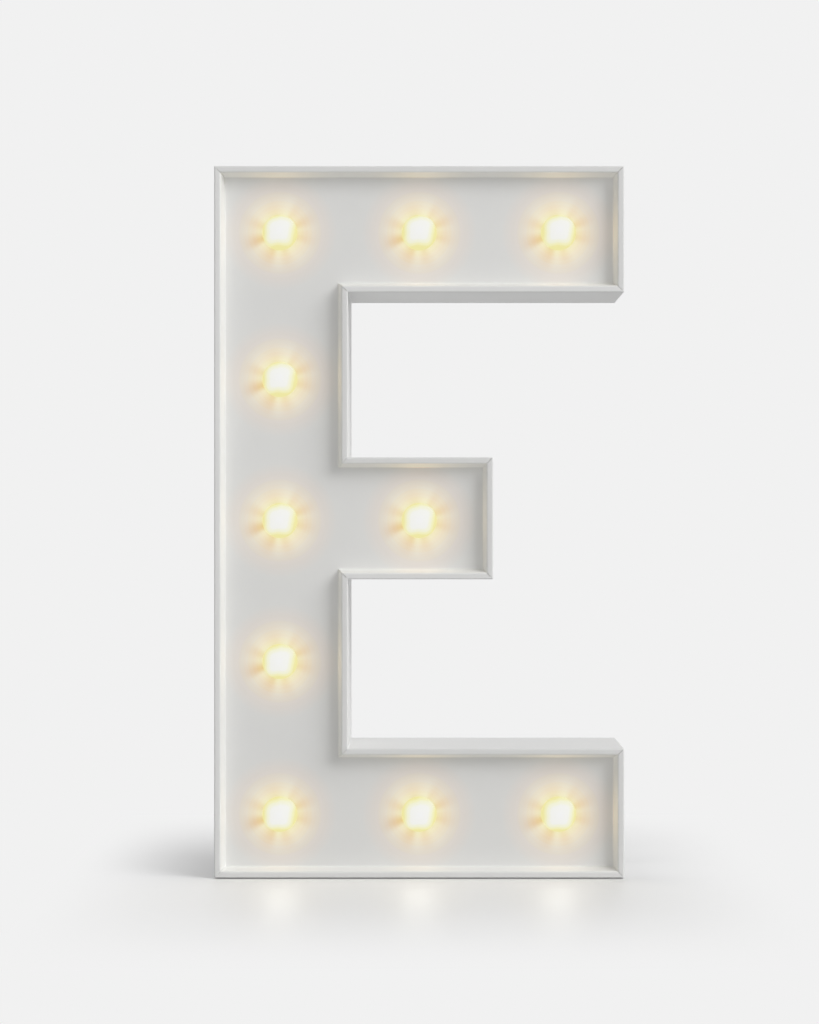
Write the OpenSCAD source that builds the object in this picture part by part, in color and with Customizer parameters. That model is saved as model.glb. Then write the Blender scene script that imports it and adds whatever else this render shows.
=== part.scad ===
// Light-up letter E: a moulded plastic letter with a recessed face and ten round lamps,
// closed behind by a cover that holds a battery bay, a hinged battery door and a slide switch.
// Frame: +Z is up, the face looks along -Y, and the origin is under the letter's middle, on its base.
// Pieces are drawn in letter coordinates: x from the left edge, y as depth behind the front rim,
// z from the base. The module place() moves them into the frame. All sizes are in millimetres.

/* [Letter] */
// Height of the letter
letter_h = 220; // [210:1:260]
// Width from the left edge to the ends of the long arms
letter_w = 126.7; // [118:0.1:160]
// Depth from the front rim to the rear edge
letter_depth = 44; // [43:0.5:60]
// Width of the upright stem
stem_w = 41.3; // [40.5:0.1:48]
// Height of the top arm
top_arm_h = 39; // [35:0.1:44]
// Height of the middle arm
mid_arm_h = 37.7; // [33:0.1:42]
// Height of the middle arm's lower edge above the base
mid_arm_z = 92.3; // [88:0.1:97]
// Width from the left edge to the end of the middle arm
mid_arm_w = 86.2; // [82:0.1:96]
// Height of the bottom arm
bottom_arm_h = 40; // [36:0.1:44]

/* [Shell] */
// Thickness of the side walls
wall_t = 2; // [1.6:0.1:2.6]
// Flat strip along the outer front edge
edge_w = 0.3; // [0.2:0.05:0.5]
// Width of the front rim, with its flat strip
rim_w = 1.7; // [1.4:0.1:2.2]
// How far the rim falls from its outer edge to its inner edge
rim_drop = 0.35; // [0.2:0.05:0.6]
// How far the inner side of the rim leans in on its way down to the face
slope_w = 1.3; // [0.8:0.1:1.8]
// Depth of the lamp face behind the front rim
face_recess = 4.6; // [3.5:0.1:7]
// Thickness of the lamp face
face_t = 2; // [1.6:0.1:2.6]
// Width of the ledge that the back cover rests on
ledge_w = 0.8; // [0.5:0.1:1]

/* [Lamps] */
// Distance of the outer lamps from the left edge and from the arm ends
lamp_inset = 20.1; // [19:0.1:22]
// How far the arm lamps lie below the middle of their arm
lamp_drop = 0.7; // [0:0.1:1.5]
// Distance between the three middle lamps of the stem
stem_lamp_pitch = 43.8; // [40:0.1:46]
// Diameter of the lamp cap
cap_d = 10.7; // [9.5:0.1:12]
// Height of the lamp cap in front of the face
cap_h = 6.5; // [6.2:0.1:9]
// Wall of the lamp cap
cap_wall = 0.9; // [0.7:0.05:1.1]
// Diameter of the flange behind the face that keeps the cap in
cap_flange_d = 13.4; // [12.8:0.1:14.4]
// Thickness of that flange
cap_flange_t = 1; // [0.8:0.1:1.4]
// Number of prism ribs inside a cap
cap_ribs = 10; // [8:1:16]
// Length of the plug that holds a light-emitting diode
plug_len = 5; // [4.5:0.1:6]
// Body diameter of the light-emitting diode
led_d = 5; // [3:0.1:5]
// Length of the light-emitting diode from its flange to its tip
led_len = 8.6; // [7.5:0.1:9]
// Wall of the sockets behind the face
socket_wall = 1.2; // [1:0.1:1.6]

/* [Back cover] */
// Thickness of the back cover
cover_t = 2; // [1.8:0.1:2.6]
// How far the cover lies inside the rear edge
cover_set_in = 2.5; // [2.3:0.1:3.5]
// Distance of the corner screws from the outer edges
screw_inset = 7; // [6.5:0.1:8.5]
// Diameter of the cover screws
screw_d = 2.6; // [2.2:0.1:3]
// Diameter of the cover screws' heads
screw_head_d = 4.7; // [4:0.1:5.4]
// Height of the cover screws' heads
screw_head_h = 1.7; // [1.2:0.1:2]
// Length of the cover screws under the head
screw_len = 10; // [8:0.5:14]
// Diameter of the screw bosses
boss_d = 6; // [5.4:0.1:7]
// Diameter of the keyhole's entry
keyhole_d = 8.5; // [7:0.1:9.5]
// Width of the keyhole's slot
keyhole_slot_w = 4.2; // [3:0.1:5]
// Length of the keyhole's slot above the middle of its entry
keyhole_slot_len = 8; // [6:0.1:10]
// Distance of the keyhole's entry from the left edge, under the letter's balance
keyhole_x = 42.4; // [38:0.1:46]
// Depth of the keyhole's entry below the top edge
keyhole_top = 17; // [15:0.1:20]

/* [Battery bay] */
// Diameter of one cell
cell_d = 14.3; // [13.8:0.1:14.5]
// Length of one cell with its button
cell_len = 50.2; // [49.2:0.1:50.5]
// Length left for a pressed contact spring
spring_len = 5.5; // [5:0.1:7]
// Thickness of the contact plates
contact_t = 0.4; // [0.3:0.05:0.6]
// Wall of the battery bay
bay_wall = 1.5; // [1.2:0.1:1.7]
// Height of the cell space above the base
bay_z = 45; // [43:0.5:47]
// Thickness of the battery door
door_t = 2; // [1.8:0.1:2.4]
// Distance from the door's hinge line to its outer face
hinge_r = 3.7; // [3.4:0.1:4]
// Diameter of the door's hinge pins
hinge_pin_d = 2.4; // [2:0.1:2.6]
// Width of the latch finger
latch_w = 10.4; // [8:0.1:12]
// Thickness of the latch finger
latch_t = 1.2; // [1:0.1:1.3]
// How far the latch nib reaches under the cover
latch_bite = 0.6; // [0.4:0.05:0.7]

/* [Switch] */
// Height of the slide switch above the battery bay
switch_rise = 15.5; // [10:0.5:20]
// Travel of the switch knob from off to on
switch_travel = 4; // [3:0.1:4.5]
// Width of the knob along its travel
knob_w = 4; // [3.5:0.1:4.5]
// Height of the knob across its travel
knob_h = 3; // [2.6:0.1:3.4]
// How far the knob stands out of the cover
knob_proud = 1.8; // [1.2:0.1:2]

/* [Clearances] */
// Gap round the back cover
cover_gap = 0.2; // [0.1:0.05:0.3]
// Gap between a fixed piece and the hole that it sits in
seat_gap = 0.1; // [0.05:0.05:0.15]
// Gap round the moving door, latch and knob
move_gap = 0.3; // [0.25:0.05:0.4]
// Running clearance of the hinge pins, on the radius
pin_gap = 0.05; // [0.03:0.01:0.08]

/* [Hidden] */
$fn = 64;
eps = 0.01;
cut = 1;

// Depth planes, from front to back
cap_front = face_recess - cap_h;
face_back = face_recess + face_t;
plug_front = face_back + cap_flange_t;
plug_back = plug_front + plug_len;
cover_out = letter_depth - cover_set_in;
cover_in = cover_out - cover_t;
door_in = cover_out - door_t;

// The frame's origin is at the middle of the whole depth, lamp caps included
cap_proud = max(0, -cap_front);
front_y = (cap_proud - letter_depth) / 2;

// Lamp places [x, z]: rows follow the arms, and two more lamps stand on the stem between them
lamp_cols = [lamp_inset, letter_w / 2, letter_w - lamp_inset];
row_top = letter_h - top_arm_h / 2 - lamp_drop;
row_mid = mid_arm_z + mid_arm_h / 2 - lamp_drop;
row_bottom = bottom_arm_h / 2 - lamp_drop;
lamps = [
    [lamp_cols[0], row_top],
    [lamp_cols[1], row_top],
    [lamp_cols[2], row_top],
    [lamp_cols[0], row_mid + stem_lamp_pitch],
    [lamp_cols[0], row_mid],
    [lamp_cols[1], row_mid],
    [lamp_cols[0], row_mid - stem_lamp_pitch],
    [lamp_cols[0], row_bottom],
    [lamp_cols[1], row_bottom],
    [lamp_cols[2], row_bottom]
];
lamp_count = len(lamps);
// The lamp where the two supply leads join the wiring
feed_lamp = 4;
// Pairs of lamps that a piece of wire joins
lamp_links = [[0, 1], [1, 2], [0, 3], [3, 4], [4, 5], [4, 6], [6, 7], [7, 8], [8, 9]];

// Lamp details
cap_r = cap_d / 2;
cap_skirt = cap_h - cap_r;
rib_r = 0.35;
socket_r = cap_flange_d / 2 + seat_gap;
led_flange_lip = 0.4;
led_flange_r = led_d / 2 + led_flange_lip;
led_flange_t = 1;
leg_w = 0.5;
leg_len = 3.8;
leg_offset = 0.9;
joint_r = 0.8;
joint_len = 1.6;
joint_gap = 0.1;
wire_r = 0.6;
wire_gap = 0.02;
wire_end = joint_r + wire_gap;
// Each polarity has its own depth, so that the two wires can cross
plus_joint = plug_back + leg_len;
minus_joint = plus_joint + joint_len + joint_gap;

// Screw bosses [x, z], clear of the wires: the four outer corners, the inner edges of the long arms,
// the inner edge of the stem and the end of the middle arm
mid_gap_x = (lamp_cols[1] + lamp_cols[2]) / 2;
bosses = [
    [screw_inset, letter_h - screw_inset],
    [mid_gap_x, letter_h - top_arm_h + screw_inset],
    [letter_w - screw_inset, letter_h - screw_inset],
    [stem_w - screw_inset, (lamps[0][1] + lamps[3][1]) / 2],
    [mid_arm_w - screw_inset, row_mid],
    [screw_inset, screw_inset],
    [mid_gap_x, bottom_arm_h - screw_inset],
    [letter_w - screw_inset, screw_inset]
];
screw_recess_len = 3;
screw_recess_w = 0.65;
screw_recess_depth = 1;

// Battery bay
bay_x = stem_w / 2;
cell_side_gap = 0.8;
cell_door_gap = 0.5;
cell_seat_gap = 0.3;
bay_w = 2 * cell_d + 3 * cell_side_gap;
cell_x = (cell_d + cell_side_gap) / 2;
cell_axis = door_in - cell_door_gap - cell_d / 2;
bay_floor = cell_axis - cell_d / 2 - cell_seat_gap;
bay_top = bay_z + 2 * contact_t + cell_len + spring_len;
cell_button_r = 2.75;
cell_button_h = 1;

// Contact plates and their springs
plate_margin = 1.8;
plate_w = cell_d - 2 * plate_margin;
plate_back = 2;
tab_w = 3;
tab_reach = 4;
spring_wire = 0.7;
spring_turns = 3;
spring_wide_r = 3.6;
spring_narrow_r = 2.4;

// Door hinge at the top of the bay, latch pocket at its foot
hinge_pocket_z = bay_top + bay_wall;
hinge_z = hinge_pocket_z + hinge_r + move_gap;
hinge_axis = cover_out - hinge_r;
hinge_top = hinge_z + hinge_r + move_gap;
pin_len = bay_wall - seat_gap;
lug_w = 4;
door_w = bay_w - 2 * move_gap;
latch_clear = 0.7;
latch_inner_r = 1.6;
latch_outer_r = latch_inner_r + latch_t;
latch_pocket_top = bay_z - bay_wall;
latch_pocket_room = 1;
latch_leg_z = latch_pocket_top - latch_pocket_room - latch_t;
latch_bend_z = latch_leg_z - latch_inner_r;
latch_finger_z = latch_bend_z - latch_inner_r - latch_t;
lip_z = latch_finger_z - latch_clear;
latch_depth = 7.5;
latch_bend = cover_out - latch_depth;
latch_pocket_floor = latch_bend - latch_outer_r - latch_clear;
nib_room = 0.9;
latch_pocket_z = lip_z - latch_bite - nib_room;
latch_root_z = latch_finger_z + latch_t / 2;
nib_h = 1.6;
pad_w = 2.3;
pad_t = 1.2;
grip_count = 3;
grip_r = 0.25;
grip_inset = 1;

// Slide switch, fixed from inside on two short posts of the cover
switch_x = stem_w / 2;
switch_z = hinge_top + bay_wall + switch_rise;
switch_post_h = 1.5;
switch_post_r = 2.2;
switch_plate = cover_in - switch_post_h;
switch_plate_t = 0.5;
switch_end_room = 2;
switch_side_room = 1.4;
switch_can_w = knob_w + switch_travel + 2 * switch_end_room;
switch_can_h = knob_h + 2 * switch_side_room;
switch_can_depth = 5;
switch_can_wall = 0.4;
switch_base_t = 1;
groove_w = 0.5;
groove_depth = 0.4;
groove_pitch = 1;
slider_t = 1.2;
slider_lip = 1.4;
slider_w = knob_w + 2 * slider_lip;
slider_h = switch_can_h - 2 * switch_can_wall - 2 * move_gap;
slot_w = knob_w + switch_travel + 2 * move_gap;
slot_h = knob_h + 2 * move_gap;
terminal_pitch = 3;
terminal_w = 1;
terminal_t = 0.5;
terminal_len = 4;
small_screw_r = 0.8;
small_screw_head_r = 1.3;
small_screw_head_h = 1.4;
small_screw_len = 2.6;
switch_pitch = switch_can_w + 2 * (small_screw_head_r + move_gap);
switch_ear_end = 2.5;
switch_ears_w = switch_pitch + 2 * switch_ear_end;
switch_back = switch_plate - switch_plate_t - switch_can_depth;
terminal_end = switch_back - terminal_len;

// Resistor in the plus lead
resistor_d = 2.3;
resistor_len = 6.3;
resistor_lead_r = 0.3;
resistor_lead_len = 2;
resistor_end = terminal_end - 2 * resistor_lead_len - resistor_len;

lamp_names = ["bulb_cap_", "led_", "led_plug_"];

// Moves letter coordinates into the frame
module place() {
    translate([-letter_w / 2, front_y, 0]) children();
}

// Corner points [x, z] of the letter's outline, moved in by inset on every side
function letter_outline(inset) = [
    [inset, inset],
    [letter_w - inset, inset],
    [letter_w - inset, bottom_arm_h - inset],
    [stem_w - inset, bottom_arm_h - inset],
    [stem_w - inset, mid_arm_z + inset],
    [mid_arm_w - inset, mid_arm_z + inset],
    [mid_arm_w - inset, mid_arm_z + mid_arm_h - inset],
    [stem_w - inset, mid_arm_z + mid_arm_h - inset],
    [stem_w - inset, letter_h - top_arm_h + inset],
    [letter_w - inset, letter_h - top_arm_h + inset],
    [letter_w - inset, letter_h - inset],
    [inset, letter_h - inset]
];

// Extrudes an [x, z] drawing from one depth to another
module slab(from, to) {
    translate([0, to, 0]) rotate([90, 0, 0]) linear_extrude(to - from) children();
}

module letter_slab(from, to, inset) {
    slab(from, to) polygon(letter_outline(inset));
}

// Corners [left, low, right, high] of the stem and of the three arms, which all start at the left edge
letter_strokes = [
    [0, 0, stem_w, letter_h],
    [0, letter_h - top_arm_h, letter_w, letter_h],
    [0, mid_arm_z, mid_arm_w, mid_arm_z + mid_arm_h],
    [0, 0, letter_w, bottom_arm_h]
];

// One stroke of the letter whose four sides lean in evenly from one depth to another
module stroke_taper(stroke, from, from_inset, to, to_inset) {
    intersection() {
        translate([0, 0, stroke[1]]) linear_extrude(stroke[3] - stroke[1]) polygon([
            [stroke[0] + from_inset, from], [stroke[2] - from_inset, from],
            [stroke[2] - to_inset, to], [stroke[0] + to_inset, to]
        ]);
        translate([stroke[0], 0, 0]) rotate([90, 0, 90]) linear_extrude(stroke[2] - stroke[0]) polygon([
            [from, stroke[1] + from_inset], [from, stroke[3] - from_inset],
            [to, stroke[3] - to_inset], [to, stroke[1] + to_inset]
        ]);
    }
}

// The letter's outline with walls that lean in evenly from one depth to another
module letter_taper(from, from_inset, to, to_inset) {
    for (stroke = letter_strokes) stroke_taper(stroke, from, from_inset, to, to_inset);
}

// A round bar along the depth at [x, z]
module bar(at, from, to, r) {
    translate([at[0], to, at[1]]) rotate([90, 0, 0]) cylinder(h = to - from, r = r);
}

// A box between two corners in letter coordinates
module box(low, high) {
    translate(low) cube(high - low);
}

// A turned shape about the depth axis at [x, z]: the profile's x is the radius and its y the depth
module turned(at) {
    translate([at[0], 0, at[1]]) rotate([-90, 0, 0]) rotate_extrude() children();
}

// Tube of the given radius along a path of points
function unit(v) = v / norm(v);
function path_tangent(path, i) = unit(path[min(i + 1, len(path) - 1)] - path[max(i - 1, 0)]);
function carried_normals(path, i = 0, before = [0.31, 0.17, 0.93]) =
    i == len(path) ? [] :
    let (t = path_tangent(path, i), n = unit(before - (before * t) * t))
    concat([n], carried_normals(path, i + 1, n));

module tube(path, r, sides) {
    normals = carried_normals(path);
    rings = len(path);
    points = [
        for (i = [0 : rings - 1])
        let (n = normals[i], b = cross(path_tangent(path, i), n))
        for (k = [0 : sides - 1])
        path[i] + r * (cos(360 * k / sides) * n + sin(360 * k / sides) * b)
    ];
    walls = [
        for (i = [0 : rings - 2]) for (k = [0 : sides - 1])
        let (a = i * sides + k, b = i * sides + (k + 1) % sides)
        for (face = [[a, a + sides, b], [b, a + sides, b + sides]]) face
    ];
    start = [for (k = [0 : sides - 1]) k];
    end = [for (k = [1 : sides]) rings * sides - k];
    polyhedron(points = points, faces = concat([start], walls, [end]));
}

// Smooth curve through the given points, with a few steps between each pair
function curve_point(a, b, c, d, t) =
    0.5 * (2 * b + (c - a) * t + (2 * a - 5 * b + 4 * c - d) * t * t + (3 * b - a - 3 * c + d) * t * t * t);
function smooth_path(points, steps) = let (last = len(points) - 1) concat(
    [for (i = [0 : last - 1]) for (s = [0 : steps - 1])
        curve_point(points[max(i - 1, 0)], points[i], points[i + 1], points[min(i + 2, last)], s / steps)],
    [points[last]]
);

// Front shell: walls, bevelled rim, recessed lamp face, lamp sockets and screw bosses in one moulding
module front_shell() {
    color("white") difference() {
        union() {
            difference() {
                letter_slab(0, letter_depth, 0);
                letter_taper(-eps, edge_w, rim_drop, rim_w);
                letter_taper(rim_drop - eps, rim_w, face_recess, rim_w + slope_w);
                letter_slab(face_back, cover_in, wall_t);
                letter_slab(cover_in - eps, letter_depth + cut, wall_t - ledge_w);
            }
            for (at = lamps) bar(at, face_back - eps, plug_back, socket_r + socket_wall);
            for (at = bosses) bar(at, face_back - eps, cover_in, boss_d / 2);
        }
        for (at = lamps) {
            bar(at, face_recess - cut, face_back + cut, cap_r + seat_gap);
            bar(at, face_back, plug_back + cut, socket_r);
        }
        for (at = bosses) bar(at, cover_out - screw_len - cut, cover_in + cut, screw_d / 2 + seat_gap / 2);
    }
}

// Lamp cap: a clear dome with prism ribs in its skirt and a flange that stays behind the face
module bulb_cap(at) {
    inner_r = cap_r - cap_wall;
    dome_at = face_recess - cap_skirt;
    color("lemonchiffon") {
        turned(at) difference() {
            union() {
                intersection() {
                    translate([0, dome_at]) circle(cap_r);
                    translate([0, cap_front]) square([cap_r, cap_r]);
                }
                translate([0, dome_at]) square([cap_r, face_back - dome_at]);
                translate([0, face_back]) square([cap_flange_d / 2, cap_flange_t]);
            }
            translate([0, dome_at]) circle(inner_r);
            translate([0, dome_at]) square([inner_r, plug_front - dome_at + cut]);
        }
        for (i = [0 : cap_ribs - 1]) {
            angle = 360 * i / cap_ribs;
            rib_at = at + (inner_r - rib_r / 4) * [cos(angle), sin(angle)];
            bar(rib_at, dome_at, plug_front, rib_r);
        }
    }
}

// Light-emitting diode: round-nosed body on a flange, pointing to the front
module led(at) {
    nose = plug_back - led_len + led_d / 2;
    color("khaki") turned(at) union() {
        intersection() {
            translate([0, nose]) circle(led_d / 2);
            translate([0, nose - led_d / 2]) square([led_d / 2, led_d / 2]);
        }
        translate([0, nose]) square([led_d / 2, plug_back - nose]);
        translate([0, plug_back - led_flange_t]) square([led_flange_r, led_flange_t]);
    }
}

// Plug that presses the cap's flange against the face and carries the diode
module led_plug(at) {
    color("whitesmoke") difference() {
        bar(at, plug_front, plug_back, socket_r - seat_gap);
        bar(at, plug_front - cut, plug_back + cut, led_d / 2 + seat_gap);
        bar(at, plug_back - led_flange_t, plug_back + cut, led_flange_r + seat_gap);
    }
}

// Place [x, z] of a lamp's leg: side 1 is the plus leg, side -1 the minus leg
function leg_at(lamp, side) = lamp + side * leg_offset * [1, 1];

module led_legs() {
    color("silver") for (lamp = lamps) for (leg = [[1, plus_joint], [-1, minus_joint]]) {
        at = leg_at(lamp, leg[0]);
        box([at[0] - leg_w / 2, plug_back, at[1] - leg_w / 2],
            [at[0] + leg_w / 2, leg[1], at[1] + leg_w / 2]);
    }
}

module solder_joints() {
    color("gainsboro") for (lamp = lamps) for (leg = [[1, plus_joint], [-1, minus_joint]])
        bar(leg_at(lamp, leg[0]), leg[1], leg[1] + joint_len, joint_r);
}

// Straight wires from joint to joint, one piece for each pair of lamps
module lamp_wires(side, joint) {
    for (link = lamp_links) {
        from = leg_at(lamps[link[0]], side);
        to = leg_at(lamps[link[1]], side);
        along = to - from;
        translate([from[0], joint + joint_len / 2, from[1]])
            rotate([0, atan2(along[0], along[1]), 0])
                translate([0, 0, wire_end]) cylinder(h = norm(along) - 2 * wire_end, r = wire_r);
    }
}

module lamp_wires_plus() {
    color("firebrick") lamp_wires(1, plus_joint);
}

module lamp_wires_minus() {
    color("dimgray") lamp_wires(-1, minus_joint);
}

// Keyhole to hang the letter on a screw: a round entry with a narrower slot above it
module keyhole() {
    at = [keyhole_x, letter_h - keyhole_top];
    top = at + [0, keyhole_slot_len];
    bar(at, cover_in - cut, cover_out + cut, keyhole_d / 2);
    bar(top, cover_in - cut, cover_out + cut, keyhole_slot_w / 2);
    box([at[0] - keyhole_slot_w / 2, cover_in - cut, at[1]],
        [at[0] + keyhole_slot_w / 2, cover_out + cut, top[1]]);
}

// Box across the bay, from one height and depth to another, widened by side on both sides
module bay_box(z_low, z_high, from, to, side) {
    box([bay_x - bay_w / 2 - side, from, z_low], [bay_x + bay_w / 2 + side, to, z_high]);
}

// Outer walls of the battery bay with its hinge pocket above and its latch pocket below
module bay_walls() {
    bay_box(bay_z - bay_wall, bay_top + bay_wall, bay_floor - bay_wall, cover_out, bay_wall);
    bay_box(bay_top, hinge_top + bay_wall, hinge_axis - hinge_r - move_gap - bay_wall, cover_out, bay_wall);
    bay_box(latch_pocket_z - bay_wall, bay_z, latch_pocket_floor - bay_wall, cover_out, bay_wall);
}

module bay_hollows() {
    bay_box(bay_z, bay_top, bay_floor, door_in, 0);
    bay_box(hinge_pocket_z, hinge_top, hinge_axis - hinge_r - move_gap, door_in, 0);
    bay_box(latch_pocket_z, latch_pocket_top, latch_pocket_floor, cover_in, 0);
    bay_box(lip_z, hinge_top, door_in - move_gap, cover_out + cut, 0);
    translate([bay_x - bay_w / 2 - bay_wall - cut, hinge_axis, hinge_z])
        rotate([0, 90, 0]) cylinder(h = bay_w + 2 * bay_wall + 2 * cut, r = hinge_pin_d / 2 + pin_gap);
    for (at = [[-cell_x, bay_top - contact_t], [cell_x, bay_top - contact_t]])
        box([bay_x + at[0] - tab_w / 2 - move_gap, bay_floor - bay_wall - cut, at[1] - move_gap],
            [bay_x + at[0] + tab_w / 2 + move_gap, bay_floor + cut, at[1] + contact_t]);
}

// Back cover: plate, battery bay, posts for the switch and the keyhole in one moulding
module back_cover() {
    inset = wall_t - ledge_w + cover_gap;
    color("white") difference() {
        union() {
            letter_slab(cover_in, cover_out, inset);
            bay_walls();
            for (side = [-1, 1])
                bar([switch_x + side * switch_pitch / 2, switch_z],
                    switch_plate, cover_in + eps, switch_post_r);
        }
        bay_hollows();
        keyhole();
        for (at = bosses) bar(at, cover_in - cut, cover_out + cut, screw_d / 2 + seat_gap);
        box([switch_x - slot_w / 2, cover_in - cut, switch_z - slot_h / 2],
            [switch_x + slot_w / 2, cover_out + cut, switch_z + slot_h / 2]);
        for (side = [-1, 1])
            bar([switch_x + side * switch_pitch / 2, switch_z], switch_plate - cut,
                switch_plate + small_screw_len, small_screw_r + seat_gap / 2);
    }
}

// A bar across the bay, of the given width about the middle, at a depth and a height
module cross_bar(depth, z, width, r) {
    translate([bay_x - width / 2, depth, z]) rotate([0, 90, 0]) cylinder(h = width, r = r);
}

// Battery door: plate with a rounded hinge edge, two hinge lugs with pins, and the fixed leg of its latch
module battery_door() {
    color("white") difference() {
        union() {
            bay_box(lip_z + move_gap, hinge_z, door_in, cover_out, -move_gap);
            door_hinge_edge();
            for (side = [-1, 1]) translate([side * (door_w - lug_w) / 2, 0, 0])
                cross_bar(hinge_axis, hinge_z, lug_w, hinge_r);
            cross_bar(hinge_axis, hinge_z, door_w + 2 * (move_gap + pin_len), hinge_pin_d / 2);
            door_latch_leg();
        }
        box([bay_x - door_w / 2 + lug_w, hinge_axis - hinge_r, hinge_z - hinge_r],
            [bay_x + door_w / 2 - lug_w, door_in, hinge_z + hinge_pin_d / 2 + pin_gap]);
        box([bay_x - latch_w / 2 - move_gap, door_in - eps, lip_z],
            [bay_x + latch_w / 2 + move_gap, cover_out + cut, latch_leg_z]);
        cross_bar(latch_bend, latch_root_z, latch_w + cut, latch_t / 2 + pin_gap);
    }
}

// Quarter-round edge of the door above its hinge line
module door_hinge_edge() {
    intersection() {
        difference() {
            cross_bar(hinge_axis, hinge_z, door_w, hinge_r);
            cross_bar(hinge_axis, hinge_z, door_w + cut, hinge_r - door_t);
        }
        bay_box(hinge_z, hinge_top, hinge_axis, cover_out, 0);
    }
}

// Fixed leg and bend of the springy latch
module door_latch_leg() {
    box([bay_x - latch_w / 2, latch_bend, latch_leg_z],
        [bay_x + latch_w / 2, door_in + eps, latch_leg_z + latch_t]);
    intersection() {
        difference() {
            cross_bar(latch_bend, latch_bend_z, latch_w, latch_outer_r);
            cross_bar(latch_bend, latch_bend_z, latch_w + cut, latch_inner_r);
        }
        bay_box(latch_bend_z - latch_outer_r, latch_bend_z + latch_outer_r,
                latch_bend - latch_outer_r, latch_bend, 0);
    }
}

// Free finger of the latch: it turns a little at its root, and its nib bites under the cover's edge
module door_latch() {
    left = bay_x - latch_w / 2;
    right = bay_x + latch_w / 2;
    nib_out = cover_in - move_gap;
    color("white") {
        cross_bar(latch_bend, latch_root_z, latch_w, latch_t / 2);
        box([left, latch_bend, latch_finger_z], [right, cover_out, latch_finger_z + latch_t]);
        box([left, cover_out - pad_t, latch_finger_z], [right, cover_out, latch_finger_z + pad_w]);
        box([left, nib_out - nib_h, lip_z - latch_bite], [right, nib_out, latch_finger_z + eps]);
        for (i = [1 : grip_count]) {
            grip_z = latch_finger_z + pad_w * (i - 0.5) / grip_count;
            cross_bar(cover_out, grip_z, latch_w - 2 * grip_inset, grip_r);
        }
    }
}

// One round cell: up is 1 where its button points up, and -1 where it points down
module battery(x, up) {
    low = up > 0 ? bay_top - contact_t - cell_len : bay_z + contact_t;
    body = cell_len - cell_button_h;
    color("slategray") translate([bay_x + x, cell_axis, low + (up > 0 ? 0 : cell_len)])
        rotate([up > 0 ? 0 : 180, 0, 0]) rotate_extrude() {
            square([cell_d / 2, body]);
            square([cell_button_r, cell_len]);
        }
}

// Contact plate of one cell, flat on the bay's end wall
module contact_plate(x, z) {
    box([bay_x + x - plate_w / 2, bay_floor + cell_seat_gap, z],
        [bay_x + x + plate_w / 2, door_in - plate_back, z + contact_t]);
}

// Output contact with a soldering tab through the bay's floor
module contact_with_tab(x) {
    z = bay_top - contact_t;
    color("silver") {
        contact_plate(x, z);
        box([bay_x + x - tab_w / 2, bay_floor - tab_reach, z],
            [bay_x + x + tab_w / 2, cell_axis, z + contact_t]);
    }
}

// Plate across the foot of the bay that joins the two cells
module contact_bridge() {
    color("silver") box(
        [bay_x - cell_x - plate_w / 2, bay_floor + cell_seat_gap, bay_z],
        [bay_x + cell_x + plate_w / 2, door_in - plate_back, bay_z + contact_t]
    );
}

// Path of a conical spring from its wide foot: straight ends of one wire diameter, even turns between
spring_rings = 8 * spring_turns;
spring_rise = spring_len - 2 * spring_wire;
function spring_path() = concat(
    [[spring_wide_r, 0, 0]],
    [for (i = [0 : spring_rings])
        let (share = i / spring_rings, angle = 360 * spring_turns * share,
             r = spring_wide_r + (spring_narrow_r - spring_wide_r) * share)
        [r * cos(angle), r * sin(angle), spring_wire + spring_rise * share]],
    [[spring_narrow_r, 0, spring_len]]
);
// Least gap of the spring to itself, measured between points over half a turn apart
spring_points = spring_path();
spring_gap = min([
    for (i = [1 : len(spring_points) - 2]) for (j = [i + 5 : 1 : len(spring_points) - 2])
    norm(spring_points[i] - spring_points[j])
]) - spring_wire;
echo(spring_gap = spring_gap);

// Conical contact spring: foot on a plate, tip against a cell's flat end
module contact_spring(x, z, up) {
    color("silver") translate([bay_x + x, cell_axis, z]) rotate([up > 0 ? 0 : 180, 0, 0])
        tube(spring_points, spring_wire / 2, 6);
}

// Slide switch: folded metal frame with two ears
module switch_frame() {
    back = switch_plate - switch_plate_t;
    color("lightgray") difference() {
        union() {
            switch_box(switch_ears_w, switch_can_h, back, switch_plate);
            switch_box(switch_can_w, switch_can_h, switch_back, switch_plate);
        }
        switch_box(switch_can_w - 2 * switch_can_wall, switch_can_h - 2 * switch_can_wall,
                   switch_back - cut, back);
        switch_box(slot_w, slot_h, back - cut, switch_plate + cut);
        for (side = [-1, 1])
            bar([switch_x + side * switch_pitch / 2, switch_z],
                back - cut, switch_plate + cut, small_screw_r + seat_gap);
    }
}

// A box centred on the switch, from one depth to another
module switch_box(w, h, from, to, x = 0) {
    box([switch_x + x - w / 2, from, switch_z - h / 2], [switch_x + x + w / 2, to, switch_z + h / 2]);
}

module switch_base() {
    inside = 2 * (switch_can_wall + seat_gap);
    color("saddlebrown")
        switch_box(switch_can_w - inside, switch_can_h - inside, switch_back, switch_back + switch_base_t);
}

module switch_terminals() {
    color("silver") for (i = [-1 : 1])
        switch_box(terminal_w, terminal_t, terminal_end, switch_back, i * terminal_pitch);
}

// Knob and its slider, drawn at the on end of its travel
module switch_knob() {
    on = switch_travel / 2;
    slider_out = switch_plate - switch_plate_t - move_gap;
    knob_out = cover_out + knob_proud;
    color("black") {
        switch_box(slider_w, slider_h, slider_out - slider_t, slider_out, on);
        difference() {
            switch_box(knob_w, knob_h, slider_out - eps, knob_out, on);
            for (i = [-1 : 1])
                switch_box(groove_w, knob_h + cut, knob_out - groove_depth, knob_out + cut,
                           on + i * groove_pitch);
        }
    }
}

module switch_screws() {
    head = switch_plate - switch_plate_t;
    color("silver") for (side = [-1, 1]) {
        at = [switch_x + side * switch_pitch / 2, switch_z];
        bar(at, head - small_screw_head_h, head, small_screw_head_r);
        bar(at, head - eps, switch_plate + small_screw_len - seat_gap, small_screw_r);
    }
}

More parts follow.
